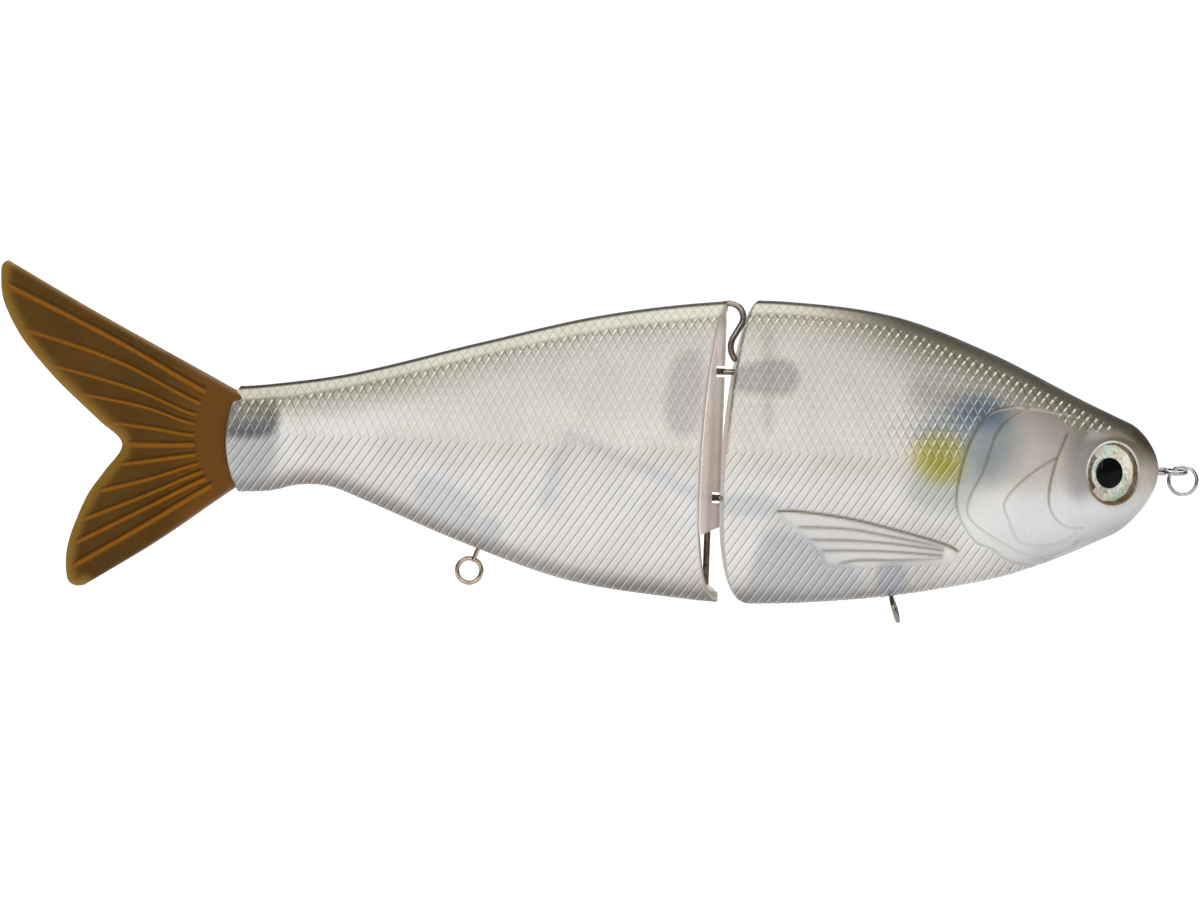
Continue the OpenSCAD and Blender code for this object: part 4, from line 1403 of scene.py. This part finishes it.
# Lines that fan out over the fin, upper edge first: height at the root, then three points
TAIL_RAYS = [
    [6.0, [147.6, 9.1], [166.8, 18.9], [180.5, 26.3]],
    [4.9, [148.8, 6.8], [163.7, 14.6], [181.5, 23.0]],
    [3.8, [149.6, 5.0], [163.0, 11.2], [178.9, 16.2]],
    [2.8, [150.2, 3.2], [160.4, 7.0], [174.6, 10.9]],
    [1.7, [150.3, 1.8], [158.9, 4.3], [170.2, 6.2]],
    [0.6, [150.4, 0.1], [156.7, 0.9], [165.5, 1.9]],
    [-0.5, [150.3, -1.3], [154.9, -1.6], [161.8, -1.9]],
    [-1.6, [150.0, -2.9], [154.8, -3.7], [164.0, -5.3]],
    [-2.7, [149.6, -4.3], [157.5, -7.0], [166.7, -9.9]],
    [-3.7, [149.0, -5.5], [158.0, -9.6], [168.6, -14.2]],
    [-4.6, [148.3, -6.5], [158.6, -12.0], [169.7, -18.0]],
    [-5.4, [147.3, -7.5], [158.0, -14.3], [169.9, -21.6]],
    [-6.2, [147.3, -10.4], [156.1, -16.9], [166.9, -23.9]],
]
TAIL_HALF = [[138, 2.2], [142, 2.4], [145, 2.75], [148, 2.75], [152, 2.15], [158, 1.5],
             [166, 1.15], [183, 0.8]]
TAIL_ROWS_BETWEEN, TAIL_COLS = 15, 150
TAIL_EDGE_ROUND = 1.0
TAIL_CROWDING = 1.25


def tail_layout():
    """Points of the fin's flat layout, one row along each fan line, and the rays' row numbers."""
    trail = smooth_line(TAIL_TRAIL, steps=10)
    run = running_length(trail)
    ends = [run[np.argmin(np.hypot(*(trail - np.array(ray[3])).T))] for ray in TAIL_RAYS]
    n = len(TAIL_RAYS)
    index = np.linspace(0, n - 1, (n - 1) * TAIL_ROWS_BETWEEN + 1)

    def between(values):
        return curve_value([[float(k), v] for k, v in enumerate(values)], index)

    root_z = between([ray[0] for ray in TAIL_RAYS])
    knots = [[between([ray[k][i] for ray in TAIL_RAYS]) for i in (0, 1)] for k in (1, 2)]
    end_run = np.interp(index, np.arange(n), ends)
    share = 1 - (1 - np.linspace(0, 1, TAIL_COLS)) ** TAIL_CROWDING
    rows = []
    for i, stop in enumerate(end_run):
        end = [np.interp(stop, run, trail[:, k]) for k in (0, 1)]
        path = smooth_line([[TAIL_ROOT_AT, root_z[i]]] + [[x[i], z[i]] for x, z in knots] + [end],
                           steps=16)
        length = running_length(path)
        rows.append(np.stack([np.interp(share * length[-1], length, v) for v in path.T], axis=-1))
    return np.array(rows), np.arange(n) * TAIL_ROWS_BETWEEN


def tail_relief(s, z, ray_rows):
    """Ridges of the rays and the grooves on both sides of them, 0 to 1."""
    ridge, groove = np.zeros_like(s), np.zeros_like(s)
    number = np.arange(len(s))[:, None]
    for ray, k in list(zip(TAIL_RAYS, ray_rows))[1:-1]:
        gap = np.hypot(s - s[k], z - z[k]) * np.where(number < k, -1, 1)
        begun = ramp(s, ray[1][0] - 0.1, ray[1][0] + 0.5)
        ridge = np.maximum(ridge, begun * bump(gap, 0.08, 0.5))
        groove = np.maximum(groove, begun * bump(gap, -0.58, 0.18))
        groove = np.maximum(groove, 0.5 * begun * bump(gap, 0.72, 0.17))
    return ridge, groove


def tail(rubber):
    """Soft forked tail: one solid with moulded rays, thinning to a rounded edge."""
    flat, ray_rows = tail_layout()
    rows, cols = flat.shape[:2]
    s, z = flat[..., 0], flat[..., 1]
    outline = np.concatenate([flat[0], flat[:, -1][1:], flat[-1][::-1][1:]])
    rim = distance(outline, s, z)
    ridge, groove = (v * ramp(rim, 0.6, 1.9) for v in tail_relief(s, z, ray_rows))
    half = (curve_value(TAIL_HALF, s) + 0.28 * ridge - 0.22 * groove) * blunt(rim, TAIL_EDGE_ROUND)
    half[0] = half[-1] = 0
    half[:, -1] = 0
    near = np.stack([at(s), half, z], axis=-1).reshape(-1, 3)
    faces, off = back_to_back(rows, cols)
    root = [r * cols for r in range(rows)]
    faces += [[a, b, off + b, off + a] for a, b in zip(root[:-1], root[1:])]
    piece = make_piece("tail_fin_rubber", np.concatenate([near, near * [1, -1, 1]]), faces)
    trail_gap = distance(flat[:, -1], s, z)
    upper_gap = distance(flat[0], s, z) * ramp(s, 150, 156) + 9 * ramp(s, 156, 150)
    # edge marks the painted glow of the thin trailing edge, upper the painted highlight on the upper
    # edge, and groove the painted shade beside each ray
    values = {"ridge": ridge, "groove": groove, "edge": ramp(trail_gap, 2.4, 0.1),
              "upper": ramp(upper_gap, 0.9, 0.2), "root": ramp(s, 156, 149.5)}
    for key, value in values.items():
        store(piece, key, np.tile(value.ravel(), 2))
    finish_mesh(piece, merge=1e-3)
    place(piece, rubber, None, ["tail_root", "tail_fin"])
    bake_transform(piece)


# ---- stage, light and camera ----

FLOOR_DROP = 70
STAGE_NEAR, STAGE_FAR, STAGE_TOP, STAGE_HALF, STAGE_CURL = -2900, 2500, 4400, 2900, 320


def paper_material():
    n = Nodes("stage_paper")
    colour = n.mix(n.noise(8, 3), (0.93, 0.93, 0.93), (0.96, 0.96, 0.955))
    n.surface(colour, 40, 2, 0.85, 0.95)
    n.set(spec=0.1)
    return n.material


def curled(reach, steps):
    """Distances and heights along paper that curls up to upright at its reach."""
    turns = np.linspace(0, math.pi / 2, steps)
    return [[reach - STAGE_CURL + STAGE_CURL * math.sin(t), STAGE_CURL - STAGE_CURL * math.cos(t)]
            for t in turns]


def stage_sweep():
    """White paper that runs under the part and curls up behind it and at both ends."""
    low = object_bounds()[0].z / MM - FLOOR_DROP
    depth = [[STAGE_NEAR, 0]] + curled(STAGE_FAR, 24) + [[STAGE_FAR, STAGE_TOP]]
    end = curled(STAGE_HALF, 12)
    width = [[-x, lift] for x, lift in end[::-1]] + [[0, 0]] + end
    points = [[VIEW_CENTRE[0] + x, y, low + z + lift] for y, z in depth for x, lift in width]
    piece = make_piece("stage_sweep", points, grid_quads(len(depth), len(width)).tolist())
    piece.data.materials.append(paper_material())
    piece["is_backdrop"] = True


def area_light(name, place_mm, aim_mm, size, power):
    data = bpy.data.lights.new(name, "AREA")
    data.shape = "RECTANGLE"
    data.size, data.size_y = size
    data.energy = power
    light = add_object(name, data)
    light.location = Vector(place_mm) * MM
    light.rotation_euler = (Vector(aim_mm) - Vector(place_mm)).to_track_quat("-Z", "Y").to_euler()


def lights():
    aim = VIEW_CENTRE
    area_light("top_box", (-90, -60, 700), aim, (1.1, 0.5), 1.4)
    area_light("front_box", (-90, -900, 420), aim, (1.2, 0.6), 7.5)
    area_light("back_box", (-90, 700, 500), aim, (1.2, 0.5), 0.12)
    area_light("paper_box", (-90, 950, 3700), (-90, 2500, 150), (5.2, 2.4), 190.0)
    world = bpy.data.worlds.new("soft_world")
    world.use_nodes = True
    background = world.node_tree.nodes["Background"]
    background.inputs["Color"].default_value = (1, 1, 1, 1)
    background.inputs["Strength"].default_value = 0.06
    bpy.context.scene.world = world


def camera():
    data = bpy.data.cameras.new("camera")
    data.sensor_width = 36
    data.lens = 36 * VIEW_DISTANCE / VIEW_WIDTH
    data.clip_start, data.clip_end = 0.01, 10
    cam = add_object("camera", data)
    centre = Vector(VIEW_CENTRE) * MM
    away = Vector((-math.sin(VIEW_YAW), -math.cos(VIEW_YAW), 0))
    cam.location = centre + away * VIEW_DISTANCE * MM
    look = (Matrix.Rotation(-VIEW_YAW, 4, "Z") @ Matrix.Rotation(math.pi / 2, 4, "X")
            @ Matrix.Rotation(VIEW_ROLL, 4, "Z"))
    cam.rotation_euler = look.to_euler()
    bpy.context.scene.camera = cam


# ---- build ----

def carried_over():
    """Hidden CAD nodes that stay, with their own materials."""
    brass = metal_material("bush_brass", (150, 128, 84), (182, 160, 110))
    lead = metal_material("ballast_metal", (92, 94, 98), (120, 122, 126), (0.45, 0.6))
    for end in ("front", "rear"):
        for node, material in ((f"{end}_hanger_bush", brass), (f"{end}_ballast", lead)):
            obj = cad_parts[node]
            if not obj.data.materials:
                obj.data.materials.append(material)
            for material_slot in obj.material_slots:
                material_slot.material = material


def build():
    bpy.context.scene.view_settings.view_transform = "Standard"
    camera()
    plastic, clear = skin_material(), clear_material()
    steel = metal_material("wire_steel", (128, 126, 124), (180, 178, 176))
    dark_steel = metal_material("dark_steel", (110, 104, 98), (140, 132, 122))
    bronze = metal_material("hanger_steel", (128, 116, 100), (176, 160, 136))
    foil, black, glass, ring = foil_material(), pupil_material(), lens_material(), ring_material()
    for section_name, skins in (("front", front_skins()), ("rear", rear_skins())):
        for label, skin in skins.items():
            place(skin, plastic, section_name, [f"{section_name}_shell_{label}"])
    for label, side in SIDES.items():
        iris(side, label, foil)
        pupil(side, label, black)
        lens(side, label, glass)
        collar(side, label, ring)
    tongue(clear)
    belly_lip(clear)
    line_tie(steel)
    split_ring(steel)
    hinge_pin(dark_steel)
    for level, name in zip(EYE_LEVELS, ("hinge_eye_upper", "hinge_eye_lower")):
        hinge_eye(level, name, dark_steel)
    hanger("front_hanger", "front_hanger", [41.2, -20.7], 18, 2.5, 84, dark_steel)
    hanger("rear_hanger", "rear_hanger", [105.6, -15.6], -20, 4.1, 0, bronze)
    tail(rubber_material())
    carried_over()
    stage_sweep()
    lights()


build()
